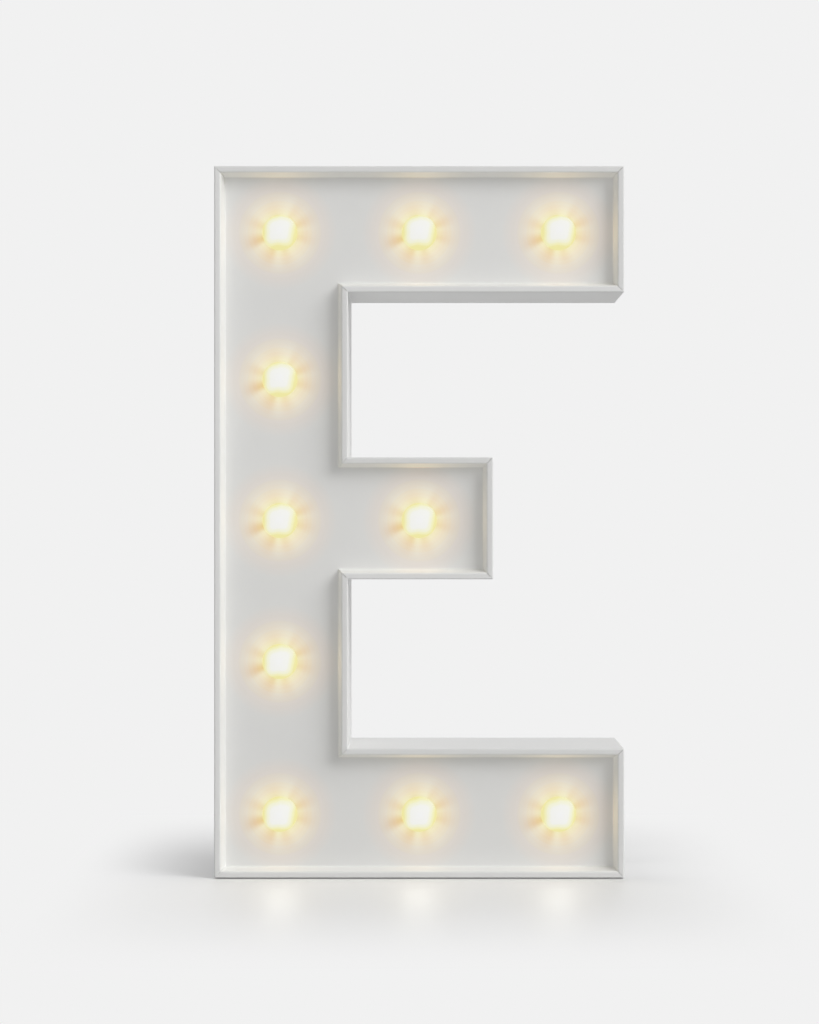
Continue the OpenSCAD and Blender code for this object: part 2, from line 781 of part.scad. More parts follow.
// Self-tapping cover screws with a cross recess
module cover_screws() {
    head_out = cover_out + screw_head_h;
    color("silver") for (at = bosses) difference() {
        union() {
            bar(at, cover_out, head_out, screw_head_d / 2);
            bar(at, cover_out - screw_len, cover_out + eps, screw_d / 2);
        }
        for (turn = [0, 90]) translate([at[0], 0, at[1]]) rotate([0, turn, 0])
            box([-screw_recess_len / 2, head_out - screw_recess_depth, -screw_recess_w / 2],
                [screw_recess_len / 2, head_out + cut, screw_recess_w / 2]);
    }
}

// Resistor on the switch's on terminal, body and wire ends along the depth
module resistor() {
    at = [switch_x + terminal_pitch, switch_z];
    body_low = resistor_end + resistor_lead_len;
    color("tan") {
        bar(at, body_low, body_low + resistor_len, resistor_d / 2);
        bar(at, resistor_end, body_low + eps, resistor_lead_r);
        bar(at, body_low + resistor_len - eps, terminal_end, resistor_lead_r);
    }
}

// Insulated leads between the battery contacts, the switch and the feed lamp.
// Each starts and ends just off its joint
lead_gap = 0.05;
tab_end = bay_floor - tab_reach - lead_gap;
tab_z = bay_top - contact_t / 2;
plus_tab = [bay_x - cell_x, tab_end, tab_z];
minus_tab = [bay_x + cell_x, tab_end, tab_z];
feed = lamps[feed_lamp];
plus_feed = [leg_at(feed, 1)[0], plus_joint + joint_len + lead_gap, leg_at(feed, 1)[1]];
minus_feed = [leg_at(feed, -1)[0], minus_joint + joint_len + lead_gap, leg_at(feed, -1)[1]];
switch_common = [switch_x, terminal_end - lead_gap, switch_z];
resistor_foot = [switch_x + terminal_pitch, resistor_end - lead_gap, switch_z];
lead_steps = 3;
lead_sides = 8;
lead_stub = [0, 2 * wire_r, 0];

// Route of a lead: one wire diameter straight out of each end, and a smooth curve through the points between.
// A side of 1 leaves its joint to the back, and -1 to the front
function lead_route(from, from_side, between, to, to_side) = concat(
    [from],
    smooth_path(concat([from + from_side * lead_stub], between, [to + to_side * lead_stub]), lead_steps),
    [to]
);

module lead_battery_switch() {
    between = [
        plus_tab + [0.4, -1.8, 4], plus_tab + [1, -0.6, 12],
        switch_common + [-3, -5, -6], switch_common + [-0.4, -2.6, -1]
    ];
    color("firebrick") tube(lead_route(plus_tab, -1, between, switch_common, -1), wire_r, lead_sides);
}

module lead_switch_lamps() {
    between = [resistor_foot + [0.6, -1.4, -3], plus_feed + [3.4, 3, 5], plus_feed + [0.6, 2.6, 0.8]];
    color("firebrick") tube(lead_route(resistor_foot, -1, between, plus_feed, 1), wire_r, lead_sides);
}

module lead_battery_lamps() {
    between = [minus_tab + [-1.2, -1.4, 3], minus_feed + [4, 2.4, -3], minus_feed + [0.6, 2, -0.4]];
    color("dimgray") tube(lead_route(minus_tab, -1, between, minus_feed, 1), wire_r, lead_sides);
}

place() front_shell();
place() back_cover();
place() battery_door();
place() door_latch();
place() switch_knob();
place() switch_frame();
place() switch_base();
place() switch_terminals();
place() switch_screws();
place() cover_screws();
place() battery(-cell_x, 1);  // battery_left
place() battery(cell_x, -1);  // battery_right
place() contact_with_tab(-cell_x);  // contact_plus
place() contact_with_tab(cell_x);  // contact_minus
place() contact_bridge();
place() contact_spring(cell_x, bay_top - contact_t, -1);  // spring_minus
place() contact_spring(-cell_x, bay_z + contact_t, 1);  // spring_bridge
place() resistor();
place() lead_battery_switch();
place() lead_switch_lamps();
place() lead_battery_lamps();
place() led_legs();
place() solder_joints();
place() lamp_wires_plus();
place() lamp_wires_minus();
for (i = [1 : lamp_count]) {
    place() bulb_cap(lamps[i - 1]);
    place() led(lamps[i - 1]);
    place() led_plug(lamps[i - 1]);
}
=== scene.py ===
"""Light-up letter E: its moulded shell, glowing lamp caps, back, battery bay and studio stage.

Sizes are in metres. Depth is counted from the plane of the front rim towards the back.
"""

import math
from collections import namedtuple

import bmesh
import bpy
import numpy as np
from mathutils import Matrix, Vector
from mathutils.geometry import delaunay_2d_cdt


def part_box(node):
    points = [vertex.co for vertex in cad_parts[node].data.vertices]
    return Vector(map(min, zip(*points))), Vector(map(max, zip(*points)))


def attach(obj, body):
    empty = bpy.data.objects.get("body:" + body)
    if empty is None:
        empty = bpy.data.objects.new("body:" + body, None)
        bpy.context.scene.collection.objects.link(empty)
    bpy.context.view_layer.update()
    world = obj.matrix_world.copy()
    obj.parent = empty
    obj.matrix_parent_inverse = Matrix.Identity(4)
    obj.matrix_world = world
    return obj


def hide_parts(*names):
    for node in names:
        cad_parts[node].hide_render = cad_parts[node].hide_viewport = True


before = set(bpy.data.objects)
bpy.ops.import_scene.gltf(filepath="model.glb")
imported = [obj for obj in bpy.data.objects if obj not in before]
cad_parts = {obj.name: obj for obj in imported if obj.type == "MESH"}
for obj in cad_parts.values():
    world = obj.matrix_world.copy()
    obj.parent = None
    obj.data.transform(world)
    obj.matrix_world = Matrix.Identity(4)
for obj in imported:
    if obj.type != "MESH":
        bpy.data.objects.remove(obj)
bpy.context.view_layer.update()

bl_info = {
    "name": "Light-up letter",
    "version": (1, 0, 0),
    "blender": (4, 5, 0),
    "location": "3D View > Sidebar > Letter",
    "description": "Builds the looks of a light-up letter around its packed model",
    "category": "Object",
}

MM = 0.001
# Height of the picture in pixels
IMAGE_HEIGHT = 1024
# Points nearer to each other than this are one point
MERGE_DISTANCE = 0.002 * MM
# Edges that bend more than this look sharp
SMOOTH_ANGLE = math.radians(40)
# Faces that bend less than this are one flat face
FLAT_ANGLE = math.radians(0.5)
# Points round a lamp hole or a cell, and round a screw boss
ROUND_POINTS = 64
BOSS_POINTS = 32
# UV of what no lamp lights
FAR_UV = 2.0

shell_low, shell_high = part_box("front_shell")
cover_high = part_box("back_cover")[1]
cap_low, cap_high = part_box("bulb_cap_1")
plug_low, plug_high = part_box("led_plug_1")
screws_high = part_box("cover_screws")[1]
knob_low, knob_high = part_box("switch_knob")

LAMP_NUMBERS = range(1, 11)
LAMPS = [f"bulb_cap_{i}" for i in LAMP_NUMBERS]


def node_middle(node):
    """Middle of a node's box."""
    low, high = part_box(node)
    return (low + high) / 2


lamp_centres = np.array([[node_middle(lamp).x, node_middle(lamp).z] for lamp in LAMPS])


# Settings

def length(name, default, description):
    """A size in metres."""
    return bpy.props.FloatProperty(
        name=name, description=description, default=default, min=0, precision=5, unit="LENGTH")


def number(name, default, description):
    """A plain number."""
    return bpy.props.FloatProperty(name=name, description=description, default=default, precision=4)


def colour(name, default, description):
    """A linear colour."""
    return bpy.props.FloatVectorProperty(
        name=name, description=description, default=default, size=3, min=0, max=1, subtype="COLOR")


def power(name, default, description):
    """A light's power in watts."""
    return bpy.props.FloatProperty(name=name, description=description, default=default, min=0, unit="POWER")


def direction(name, default, description):
    """A direction of any length."""
    return bpy.props.FloatVectorProperty(
        name=name, description=description, default=default, subtype="DIRECTION")


class LetterSizes(bpy.types.PropertyGroup):
    """Sizes of the letter's pieces that its boxes don't give."""

    stem_width: length("Stem width", 41.3 * MM, "Width of the upright stem")
    top_arm: length("Top arm", 39 * MM, "Height of the top arm")
    mid_arm: length("Middle arm", 37.7 * MM, "Height of the middle arm")
    mid_arm_base: length("Middle arm base", 92.3 * MM, "Height of the middle arm's lower edge")
    mid_arm_reach: length("Middle arm reach", 86.2 * MM, "Width from the left edge to the middle arm's end")
    bottom_arm: length("Bottom arm", 40 * MM, "Height of the bottom arm")
    wall: length("Wall", 2 * MM, "Thickness of the side walls")
    rim: length("Rim", 2.0 * MM, "Width of the front rim")
    rim_drop: length("Rim drop", 0.1 * MM, "How far the rim falls from its outer edge to its inner edge")
    rim_round: length("Rim rounding", 0.5 * MM, "How far the soft roll of the rim's inner edge reaches")
    slope: length("Slope", 1.0 * MM, "How far the rim's inner side leans in down to the face")
    mitre_depth: length("Mitre depth", 0.3 * MM, "Depth of the fine line across the rim at each corner")
    recess: length("Recess", 4.6 * MM, "Depth of the lamp face behind the rim")
    face: length("Face", 2 * MM, "Thickness of the lamp face")
    ledge: length("Ledge", 0.8 * MM, "Width of the ledge under the back cover")
    cover: length("Cover", 2 * MM, "Thickness of the back cover")
    edge_round: length("Edge rounding", 0.45 * MM, "Rounding of the outer edges")
    soft_edge: length("Soft edge", 0.2 * MM, "Width of the soft edges of the cover and door")
    fine_edge: length("Fine edge", 0.05 * MM, "Width of the soft edges of the ribbed latch and knob")
    seat_gap: length("Seat gap", 0.1 * MM, "Gap between a lamp cap and its hole")
    socket_wall: length("Socket wall", 1.2 * MM, "Wall of the lamp sockets behind the face")
    screw_inset: length("Screw inset", 7 * MM, "Distance of the screws from the letter's edges")
    boss_width: length("Boss width", 6 * MM, "Diameter of the screw bosses")
    boss_bore: length("Boss bore", 2.7 * MM, "Diameter of the holes in the screw bosses")
    screw_length: length("Screw length", 10 * MM, "Length of the screws under their heads")
    screw_head: length("Screw head", 4.7 * MM, "Diameter of the screw heads")
    screw_shaft: length("Screw shaft", 2.6 * MM, "Diameter of the screw shafts")
    cap_width: length("Cap width", 10.7 * MM, "Diameter of a lamp cap")
    cap_wall: length("Cap wall", 0.9 * MM, "Wall of a lamp cap")
    cap_flange: length("Cap flange", 1 * MM, "Thickness of a lamp cap's flange")
    cap_rib: length("Cap rib", 0.26 * MM, "How far the prism ribs stand into a cap")
    halo_reach: length("Halo reach", 18.0 * MM, "Radius of the light that a lamp throws on the face")
    beam_reach: length("Beam reach", 16.5 * MM, "Distance at which a lamp's side light starts to fall off")
    beam_height: length("Beam height", 3 * MM, "Height above the face of a lamp's side light")
    face_mesh: length("Face mesh", 3 * MM, "Spacing of the points across the face")
    screw_pitch: length("Screw pitch", 1.1 * MM, "Pitch of the screws' thread")
    cross_length: length("Cross length", 3 * MM, "Length of the cross recess in a screw head")
    cross_width: length("Cross width", 0.65 * MM, "Width of the cross recess in a screw head")
    cross_depth: length("Cross depth", 1 * MM, "Depth of the cross recess in a screw head")
    cell_button: length("Cell button", 5.5 * MM, "Diameter of a cell's button")
    spring_wire: length("Spring wire", 0.7 * MM, "Diameter of the contact springs' wire")
    spring_wide: length("Spring foot", 7.2 * MM, "Diameter of the contact springs' wide end")
    spring_narrow: length("Spring tip", 4.8 * MM, "Diameter of the contact springs' narrow end")
    mark_height: length("Mark height", 2.6 * MM, "Height of the raised words beside the switch")
    mark_relief: length("Mark relief", 0.25 * MM, "How far the raised words stand out")
    mark_gap: length("Mark gap", 2.2 * MM, "Gap between the switch slot and the words")
    switch_travel: length("Switch travel", 4 * MM, "How far the switch knob slides")


class LetterColours(bpy.types.PropertyGroup):
    """Base colours of the letter's finishes."""

    shell: colour("Shell", (0.80, 0.80, 0.79), "Satin white of the moulded shell")
    cover: colour("Cover", (0.78, 0.78, 0.77), "White of the back cover and the battery door")
    knob: colour("Knob", (0.022, 0.022, 0.024), "Black of the switch knob")
    steel: colour("Steel", (0.62, 0.62, 0.61), "Plated steel of screws, contacts and springs")
    phenolic: colour("Switch base", (0.16, 0.07, 0.03), "Brown laminate of the switch base")
    jacket: colour("Cell jacket", (0.055, 0.11, 0.18), "Blue-grey jacket of the cells")
    band: colour("Cell band", (0.58, 0.58, 0.56), "Pale band of the cells")
    resin: colour("Diode resin", (0.72, 0.66, 0.38), "Resin of the light-emitting diodes")
    plug: colour("Lamp plugs", (0.70, 0.70, 0.68), "Soft white of the lamp plugs")
    resistor: colour("Resistor", (0.55, 0.42, 0.26), "Lacquer of the resistor")
    wire_plus: colour("Plus wire", (0.42, 0.02, 0.02), "Red insulation")
    wire_minus: colour("Minus wire", (0.03, 0.03, 0.03), "Black insulation")
    solder: colour("Solder", (0.58, 0.58, 0.60), "Solder of the joints")
    recess_light: colour("Recess light", (0.105, 0.105, 0.098), "Lamp light scattered on the slopes")
    beam_light: colour("Beam light", (0.19, 0.125, 0.03), "Lamp light on the slope nearest to a lamp")
    floor: colour("Floor", (0.92, 0.92, 0.92), "Pale studio floor as it is seen")
    floor_bounce: colour("Floor bounce", (0.45, 0.45, 0.45), "Studio floor as it lights the letter")


class StageSettings(bpy.types.PropertyGroup):
    """Camera, light and floor."""

    camera_distance: length("Camera distance", 0.873, "Distance from the front rim to the camera")
    camera_height: length("Camera height", 0.1103, "Height of the camera above the floor")
    camera_side: length("Camera side", 1.8 * MM, "Distance of the camera to the right of the letter's middle")
    lens: bpy.props.FloatProperty(
        name="Lens", description="Focal length for a 36 mm tall picture", default=99.35, unit="CAMERA")
    shift_right: number("Shift right", -15.5 / IMAGE_HEIGHT, "Sideways shift in picture heights")
    shift_up: number("Shift up", 9 / IMAGE_HEIGHT, "Upward shift in picture heights")
    ambient: number("Ambient", 0.315, "Strength of the light from all around")
    background: number("Background", 0.88, "Brightness of the background as the camera sees it")
    key_power: power("Key power", 62, "Power of the soft key light")
    key_size: length("Key size", 1.9, "Side of the key light")
    key_direction: direction("Key direction", (0.68, -0.48, 0.56), "Way from the letter to the key light")
    fill_power: power("Fill power", 8.5, "Power of the weak fill light in front")
    fill_size: length("Fill size", 2.0, "Side of the fill lights")
    fill_direction: direction("Fill direction", (0.1, -1.0, 0.2), "Way from the letter to the fill light")
    rear_power: power("Rear power", 36, "Power of the fill light behind")
    rear_direction: direction("Rear direction", (-0.25, 0.97, 0.05), "Way from the letter to the rear light")
    light_distance: length("Light distance", 3.0, "Distance of the lights from the letter")
    floor_reach: length("Floor reach", 4.0, "Half side of the floor")
    floor_lift: number("Floor lift", 0.04, "Brightness added to the floor where it is seen directly")
    floor_gap: length("Floor gap", 0.25 * MM, "Gap of the dark line between the letter's foot and the floor")
    # Painted shade on the floor beside the letter's foot: how dark, how far it reaches and how far it is
    # moved right
    contact_shade: number("Contact shade", 0.16, "How much the floor darkens right beside the letter")
    contact_reach: length("Contact reach", 0.015, "Distance over which that shade fades")
    contact_side: length("Contact side", 0.006, "How far that shade is moved to the right")
    side_near: length("Side near", 0.062, "Distance beside the middle where the floor starts to fade")
    side_far: length("Side far", 0.112, "Distance beside the middle where it is plain background")
    front_near: length("Front near", 0.06, "Distance before the middle where the floor starts to fade")
    front_far: length("Front far", 0.2, "Distance before the middle where it is plain background")
    back_near: length("Back near", 0.06, "Distance behind the middle where the floor starts to fade")
    back_far: length("Back far", 0.17, "Distance behind the middle where it is plain background")


# Surfaces

def unit(vectors):
    """Vectors scaled to a length of one."""
    return vectors / np.linalg.norm(vectors, axis=-1, keepdims=True)


def rounded_loop(points, setback, support, steps, between=0):
    """Corners of closed loops replaced by soft bends.

    Each corner p with neighbours in directions u and v becomes the curve (1-t)^2 (p + s u) + 2t(1-t) p +
    t^2 (p + s v), where s is the setback, with one more point a support length outside each end, and with
    evenly spaced points between one corner and the next.
    """
    u = unit(np.roll(points, 1, axis=-2) - points)
    v = unit(np.roll(points, -1, axis=-2) - points)
    t = np.linspace(0, 1, steps + 1)[:, None]
    start = (points + setback * u)[..., None, :]
    middle = points[..., None, :]
    end = (points + setback * v)[..., None, :]
    bend = (1 - t) ** 2 * start + 2 * t * (1 - t) * middle + t ** 2 * end
    before = (points + (setback + support) * u)[..., None, :]
    after = (points + (setback + support) * v)[..., None, :]
    run = np.linspace(0, 1, between + 2)[1:-1, None]
    straight = (1 - run) * after + run * np.roll(before, -1, axis=-3)
    curve = np.concatenate([before, bend, after, straight], axis=-2)
    return curve.reshape(*points.shape[:-2], -1, points.shape[-1])


def rounded_line(points, setback, support, steps):
    """Inner corners of an open line replaced by the same soft bends, with both ends kept."""
    per_corner = steps + 3
    loop = rounded_loop(points, setback, support, steps)
    return np.concatenate([points[:1], loop[per_corner:-per_corner], points[-1:]])


def inset_corners(corners, insets):
    """A closed outline moved inwards by each inset: a corner moves along the sum of its sides' normals."""
    along = unit(np.roll(corners, -1, axis=0) - corners)
    inward = np.stack([-along[:, 1], along[:, 0]], axis=1)
    mitre = inward + np.roll(inward, 1, axis=0)
    return corners + np.asarray(insets)[:, None, None] * mitre


def full_turn(count):
    """Angles spaced evenly round a full turn."""
    return np.linspace(0, 2 * math.pi, count, endpoint=False)


def circles(centres, radius, count):
    """Points of one circle round each centre."""
    angle = full_turn(count)
    return centres[:, None, :] + radius * np.stack([np.cos(angle), np.sin(angle)], axis=-1)


def nearest(points, centres):
    """Distance of each point from the centre nearest to it."""
    return np.linalg.norm(points[:, None] - centres[None], axis=-1).min(axis=1)


def inside_outline(points, corners):
    """Whether points lie inside a closed outline: a line to the right crosses it an odd number of times."""
    x, z = points[:, :1], points[:, 1:]
    (x0, z0), (x1, z1) = corners.T, np.roll(corners, -1, axis=0).T
    crosses = (z0 > z) != (z1 > z)
    at = x0 + (z - z0) * (x1 - x0) / np.where(z1 == z0, 1, z1 - z0)
    return (crosses & (x < at)).sum(axis=1) % 2 == 1


def grid_faces(rows, columns):
    """Quads between neighbouring rows and columns of a grid whose columns are joined end to end."""
    row, column = np.meshgrid(np.arange(rows - 1), np.arange(columns), indexing="ij")
    here, beside = row * columns + column, row * columns + (column + 1) % columns
    return np.stack([here, beside, beside + columns, here + columns], axis=-1).reshape(-1, 4)


def grid_part(points, uv=None):
    """Vertices, faces and UV of a grid of points."""
    rows, columns = points.shape[:2]
    faces = grid_faces(rows, columns)
    flat_uv = np.full((rows * columns, 2), FAR_UV) if uv is None else uv.reshape(-1, 2)
    return points.reshape(-1, 3), faces, flat_uv[faces]


def unlit_part(points, triangles):
    """Vertices, triangles and UV of a part that no lamp lights."""
    return points, triangles, np.full((len(triangles), 3, 2), FAR_UV)


def turned(profile, centre, count):
    """A profile of radius and depth turned about the depth axis through a centre (x, z)."""
    angle = full_turn(count)
    radius, depth = profile[:, :1], profile[:, 1:]
    x = centre[0] + radius * np.cos(angle)
    z = centre[1] + radius * np.sin(angle)
    return np.stack([x, np.broadcast_to(shell_low.y + depth, x.shape), z], axis=-1)


# How a flat region is filled: with triangles inside its rings only, and with points this near taken as one
INSIDE_ONLY = 1
SNAP = 1e-6


def filled_flat(rings, holes, hole_radius, loose=()):
    """Triangles of a flat region bounded by its first ring, cut along all rings, without the round holes.

    Loose points are further corners of its triangles.
    """
    points = np.concatenate([*rings, *loose]) / MM
    counts = [len(ring) for ring in rings]
    starts = np.concatenate([[0], np.cumsum(counts)[:-1]])
    edges = [(int(s + i), int(s + (i + 1) % n)) for s, n in zip(starts, counts) for i in range(n)]
    result = delaunay_2d_cdt([Vector(p) for p in points], edges, [], INSIDE_ONLY, SNAP)
    flat = np.array([v[:] for v in result[0]]) * MM
    triangles = np.array(result[2])
    return flat, triangles[nearest(flat[triangles].mean(axis=1), holes) > hole_radius]


def read_rows(collection, name, kind=np.float32):
    """Values of three numbers each from a mesh's collection."""
    values = np.empty(len(collection) * 3, kind)
    collection.foreach_get(name, values)
    return values.reshape(-1, 3)


def add_object(name, data):
    """A new object in the scene."""
    item = bpy.data.objects.new(name, data)
    bpy.context.scene.collection.objects.link(item)
    return item


def add_piece(name, mesh, material, body, replaced):
    """A mesh as a smooth piece that rides on a body and stands for the nodes that it replaces."""
    mesh.shade_smooth()
    mesh.set_sharp_from_angle(angle=SMOOTH_ANGLE)
    mesh.materials.clear()
    mesh.materials.append(material)
    piece = add_object(name, mesh)
    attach(piece, body)
    if replaced:
        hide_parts(*replaced)
    return piece


def new_piece(name, parts, material, body, slot, *replaced):
    """One closed piece from its parts, merged where they meet and with faces outwards."""
    offsets = np.cumsum([0] + [len(part[0]) for part in parts[:-1]])
    vertices = np.concatenate([part[0] for part in parts])
    faces = [face for part, offset in zip(parts, offsets) for face in (part[1] + offset).tolist()]
    uv = np.concatenate([part[2].reshape(-1, 2) for part in parts])
    mesh = bpy.data.meshes.new(name)
    mesh.from_pydata(vertices.tolist(), [], faces)
    mesh.uv_layers.new(name="UVMap").uv.foreach_set("vector", uv.astype(np.float32).ravel())
    work = bmesh.new()
    work.from_mesh(mesh)
    bmesh.ops.remove_doubles(work, verts=work.verts, dist=MERGE_DISTANCE)
    bmesh.ops.recalc_face_normals(work, faces=work.faces)
    work.to_mesh(mesh)
    work.free()
    return add_piece(name, mesh, material, body, replaced)


# Shader nodes

def add_node(tree, kind, **settings):
    """A new node with its settings."""
    node = tree.nodes.new(kind)
    for key, setting in settings.items():
        setattr(node, key, setting)
    return node


def put(tree, socket, value):
    """Feeds a socket from another socket, or sets its own value."""
    if isinstance(value, bpy.types.NodeSocket):
        tree.links.new(value, socket)
    else:
        socket.default_value = value


def fed(tree, kind, operation, values):
    """Outputs of a node for sums, fed with its values."""
    node = add_node(tree, kind, operation=operation)
    for socket, value in zip(node.inputs, values):
        put(tree, socket, value)
    return node.outputs


def maths(tree, operation, *values):
    """Output of a Math node."""
    return fed(tree, "ShaderNodeMath", operation, values)[0]


def vector_maths(tree, operation, *values):
    """Outputs of a Vector Math node, a vector and a value."""
    return fed(tree, "ShaderNodeVectorMath", operation, values)


def split(tree, vector):
    """Outputs of a Separate XYZ node."""
    node = add_node(tree, "ShaderNodeSeparateXYZ")
    put(tree, node.inputs[0], vector)
    return node.outputs


def own_uv(tree):
    """Output of a piece's own UV map."""
    return add_node(tree, "ShaderNodeUVMap", uv_map="UVMap").outputs["UV"]


def mapped(tree, value, from_low, from_high, to_low, to_high, smooth=False):
    """Output of a Map Range node, held at its ends."""
    node = add_node(tree, "ShaderNodeMapRange", interpolation_type="SMOOTHSTEP" if smooth else "LINEAR")
    for key, setting in zip(("Value", "From Min", "From Max", "To Min", "To Max"),
                            (value, from_low, from_high, to_low, to_high)):
        put(tree, node.inputs[key], setting)
    return node.outputs["Result"]


def mixed(tree, factor, first, second, blend="MIX"):
    """Output of a Mix node, by its sockets for colours."""
    node = add_node(tree, "ShaderNodeMix", data_type="RGBA", blend_type=blend)
    put(tree, node.inputs[0], factor)
    put(tree, node.inputs[6], first)
    put(tree, node.inputs[7], second)
    return node.outputs[2]


def ramp(tree, value, stops, interpolation="EASE"):
    """Output of a Color Ramp node with stops of (position, colour)."""
    node = add_node(tree, "ShaderNodeValToRGB")
    node.color_ramp.interpolation = interpolation
    elements = node.color_ramp.elements
    for _ in stops[2:]:
        elements.new(0.5)
    for element, (position, _) in zip(elements, stops):
        element.position = position
    for element, (_, shade) in zip(elements, stops):
        element.color = (*shade, 1)
    put(tree, node.inputs[0], value)
    return node.outputs[0]


def stripe(tree, value, low, high):
    """White where a value lies between two others, and black elsewhere."""
    return ramp(tree, value, [(0.0, (0, 0, 0)), (low, (1, 1, 1)), (high, (0, 0, 0))], "CONSTANT")


def grey(level):
    """A grey of the given brightness."""
    return level, level, level, 1


def new_group(name, inputs, outputs):
    """An empty node group with named sockets, and its input and output nodes."""
    tree = bpy.data.node_groups.new(name, "ShaderNodeTree")
    for in_out, sockets in (("INPUT", inputs), ("OUTPUT", outputs)):
        for socket, kind in sockets.items():
            tree.interface.new_socket(name=socket, in_out=in_out, socket_type="NodeSocket" + kind)
    return tree, tree.nodes.new("NodeGroupInput").outputs, tree.nodes.new("NodeGroupOutput").inputs


def noise(tree, scale, detail):
    """Noise on Object coordinates."""
    coordinates = add_node(tree, "ShaderNodeTexCoord")
    node = add_node(tree, "ShaderNodeTexNoise")
    put(tree, node.inputs["Vector"], coordinates.outputs["Object"])
    put(tree, node.inputs["Scale"], scale)
    put(tree, node.inputs["Detail"], detail)
    return node.outputs["Fac"]


# Noise values between which the clouds of a finish run, and the shade of the darkest cloud
CLOUD_LOW = 0.3
CLOUD_HIGH = 0.7
CLOUD_SHADE = 0.985


def make_grain_group():
    """Moulded grain: a fine spark texture for the bump, and broad clouds that vary roughness and shade."""
    tree, given, out = new_group(
        "Moulded grain",
        {"Colour": "Color", "Grain Scale": "Float", "Cloud Scale": "Float", "Roughness": "Float",
         "Spread": "Float"},
        {"Colour": "Color", "Roughness": "Float", "Height": "Float"})
    fine = noise(tree, given["Grain Scale"], detail=2.0)
    cloud = noise(tree, given["Cloud Scale"], detail=3.0)
    centred = maths(tree, "SUBTRACT", cloud, 0.5)
    rough = maths(tree, "MULTIPLY_ADD", centred, given["Spread"], given["Roughness"])
    grit = maths(tree, "MULTIPLY_ADD", maths(tree, "SUBTRACT", fine, 0.5), given["Spread"], rough)
    shade = mapped(tree, cloud, CLOUD_LOW, CLOUD_HIGH, CLOUD_SHADE, 1.0)
    tree.links.new(mixed(tree, 1.0, given["Colour"], shade, "MULTIPLY"), out["Colour"])
    tree.links.new(grit, out["Roughness"])
    tree.links.new(fine, out["Height"])
    return tree


# Directions in degrees, anticlockwise from the right, and brightness of the rays that the ribs throw there
RAYS = [(0, 0.6), (8, 0.75), (24, 0.3), (42, 0.7), (56, 0.6), (72, 1.0), (104, 0.7), (140, 0.95), (160, 0.5),
        (176, 0.8), (200, 0.0), (217, 0.85), (248, 0.3), (266, 0.9), (284, 0.55), (306, 0.9), (328, 0.8),
        (347, 0.4)]
# Radii in mm between which the rays fade out
RAY_NEAR = 6.0
RAY_FAR = 14.0
# Light that a bright ray adds to the face next to the cap, so that the gaps between rays stay orange
RAY_LIGHT = (0.08, 0.21, 0.27, 1)
# Light that a lamp adds to the face at a radius in mm, painted as glow
GLOW = [(5.4, (0.44, 0.313, 0.105)), (6.8, (0.415, 0.266, 0.102)), (8.0, (0.272, 0.135, 0.040)),
        (9.3, (0.186, 0.082, 0.012)), (10.5, (0.120, 0.044, 0.0)), (12.0, (0.077, 0.030, 0.0)),
        (13.2, (0.046, 0.014, 0.010)), (14.6, (0.026, 0.005, 0.0)), (16.2, (0.010, 0.002, 0.0)),
        (18.0, (0, 0, 0))]
# Painted warm tint of the face at a radius in mm, darker next to the cap, that stands in for the lamp's light
# with the glow
PAINTED_TINT = [(5.4, (0.42, 0.38, 0.25)), (6.8, (0.50, 0.46, 0.34)), (8.0, (0.72, 0.67, 0.53)),
         (9.3, (0.85, 0.805, 0.68)), (10.5, (0.93, 0.90, 0.82)), (12.0, (0.97, 0.95, 0.895)),
         (13.6, (0.99, 0.98, 0.955)), (15.6, (1.0, 0.99, 0.98)), (18.0, (1.0, 1.0, 1.0))]


def polar(tree, across, up):
    """Radius of a place, and its angle anticlockwise from the right as a share of a turn."""
    squared = maths(tree, "ADD", maths(tree, "MULTIPLY", across, across), maths(tree, "MULTIPLY", up, up))
    turn = maths(tree, "DIVIDE", maths(tree, "ARCTAN2", up, across), 2 * math.pi)
    return maths(tree, "SQRT", squared), maths(tree, "FRACT", maths(tree, "ADD", turn, 1.0))


def closed_stops(directions):
    """Stops of a ramp round a full turn that ends as it starts."""
    stops = [(degrees / 360, (bright,) * 3) for degrees, bright in directions]
    return stops + [(1.0, stops[0][1])]


def make_halo_group(sizes):
    """Lamp halo: from a place round a lamp, the painted light that it throws on the face and the painted warm
    tint there.

    The light falls off with the radius, and its rays follow the angle, strongest next to the cap.
    """
    tree, given, out = new_group("Lamp halo", {"Place": "Vector"}, {"Painted_Tint": "Color", "Glow": "Color"})
    across, up, _ = split(tree, given["Place"])
    radius, share = polar(tree, across, up)
    rays = ramp(tree, share, closed_stops(RAYS))
    reach = sizes.halo_reach / MM
    # Painted glow of the lamp's light on the face, falling off with the radius
    glow = ramp(tree, radius, [(at / reach, shade) for at, shade in GLOW])
    # Painted warm tint of the face, darker next to the cap, standing in for the lamp's light
    stain = ramp(tree, radius, [(at / reach, shade) for at, shade in PAINTED_TINT])
    near = mapped(tree, radius, RAY_NEAR / reach, RAY_FAR / reach, 1.0, 0.0, smooth=True)
    lit = maths(tree, "MULTIPLY", rays, near)
    tree.links.new(mixed(tree, lit, glow, RAY_LIGHT, "ADD"), out["Glow"])
    tree.links.new(stain, out["Painted_Tint"])
    return tree


def add_group(tree, group, **values):
    """A node group placed in a material with its own values."""
    node = add_node(tree, "ShaderNodeGroup", node_tree=group)
    for key, value in values.items():
        put(tree, node.inputs[key.replace("_", " ")], value)
    return node


def new_material(name):
    """A material with an empty Principled shader."""
    material = bpy.data.materials.new(name)
    material.use_nodes = True
    return material, material.node_tree, material.node_tree.nodes["Principled BSDF"]


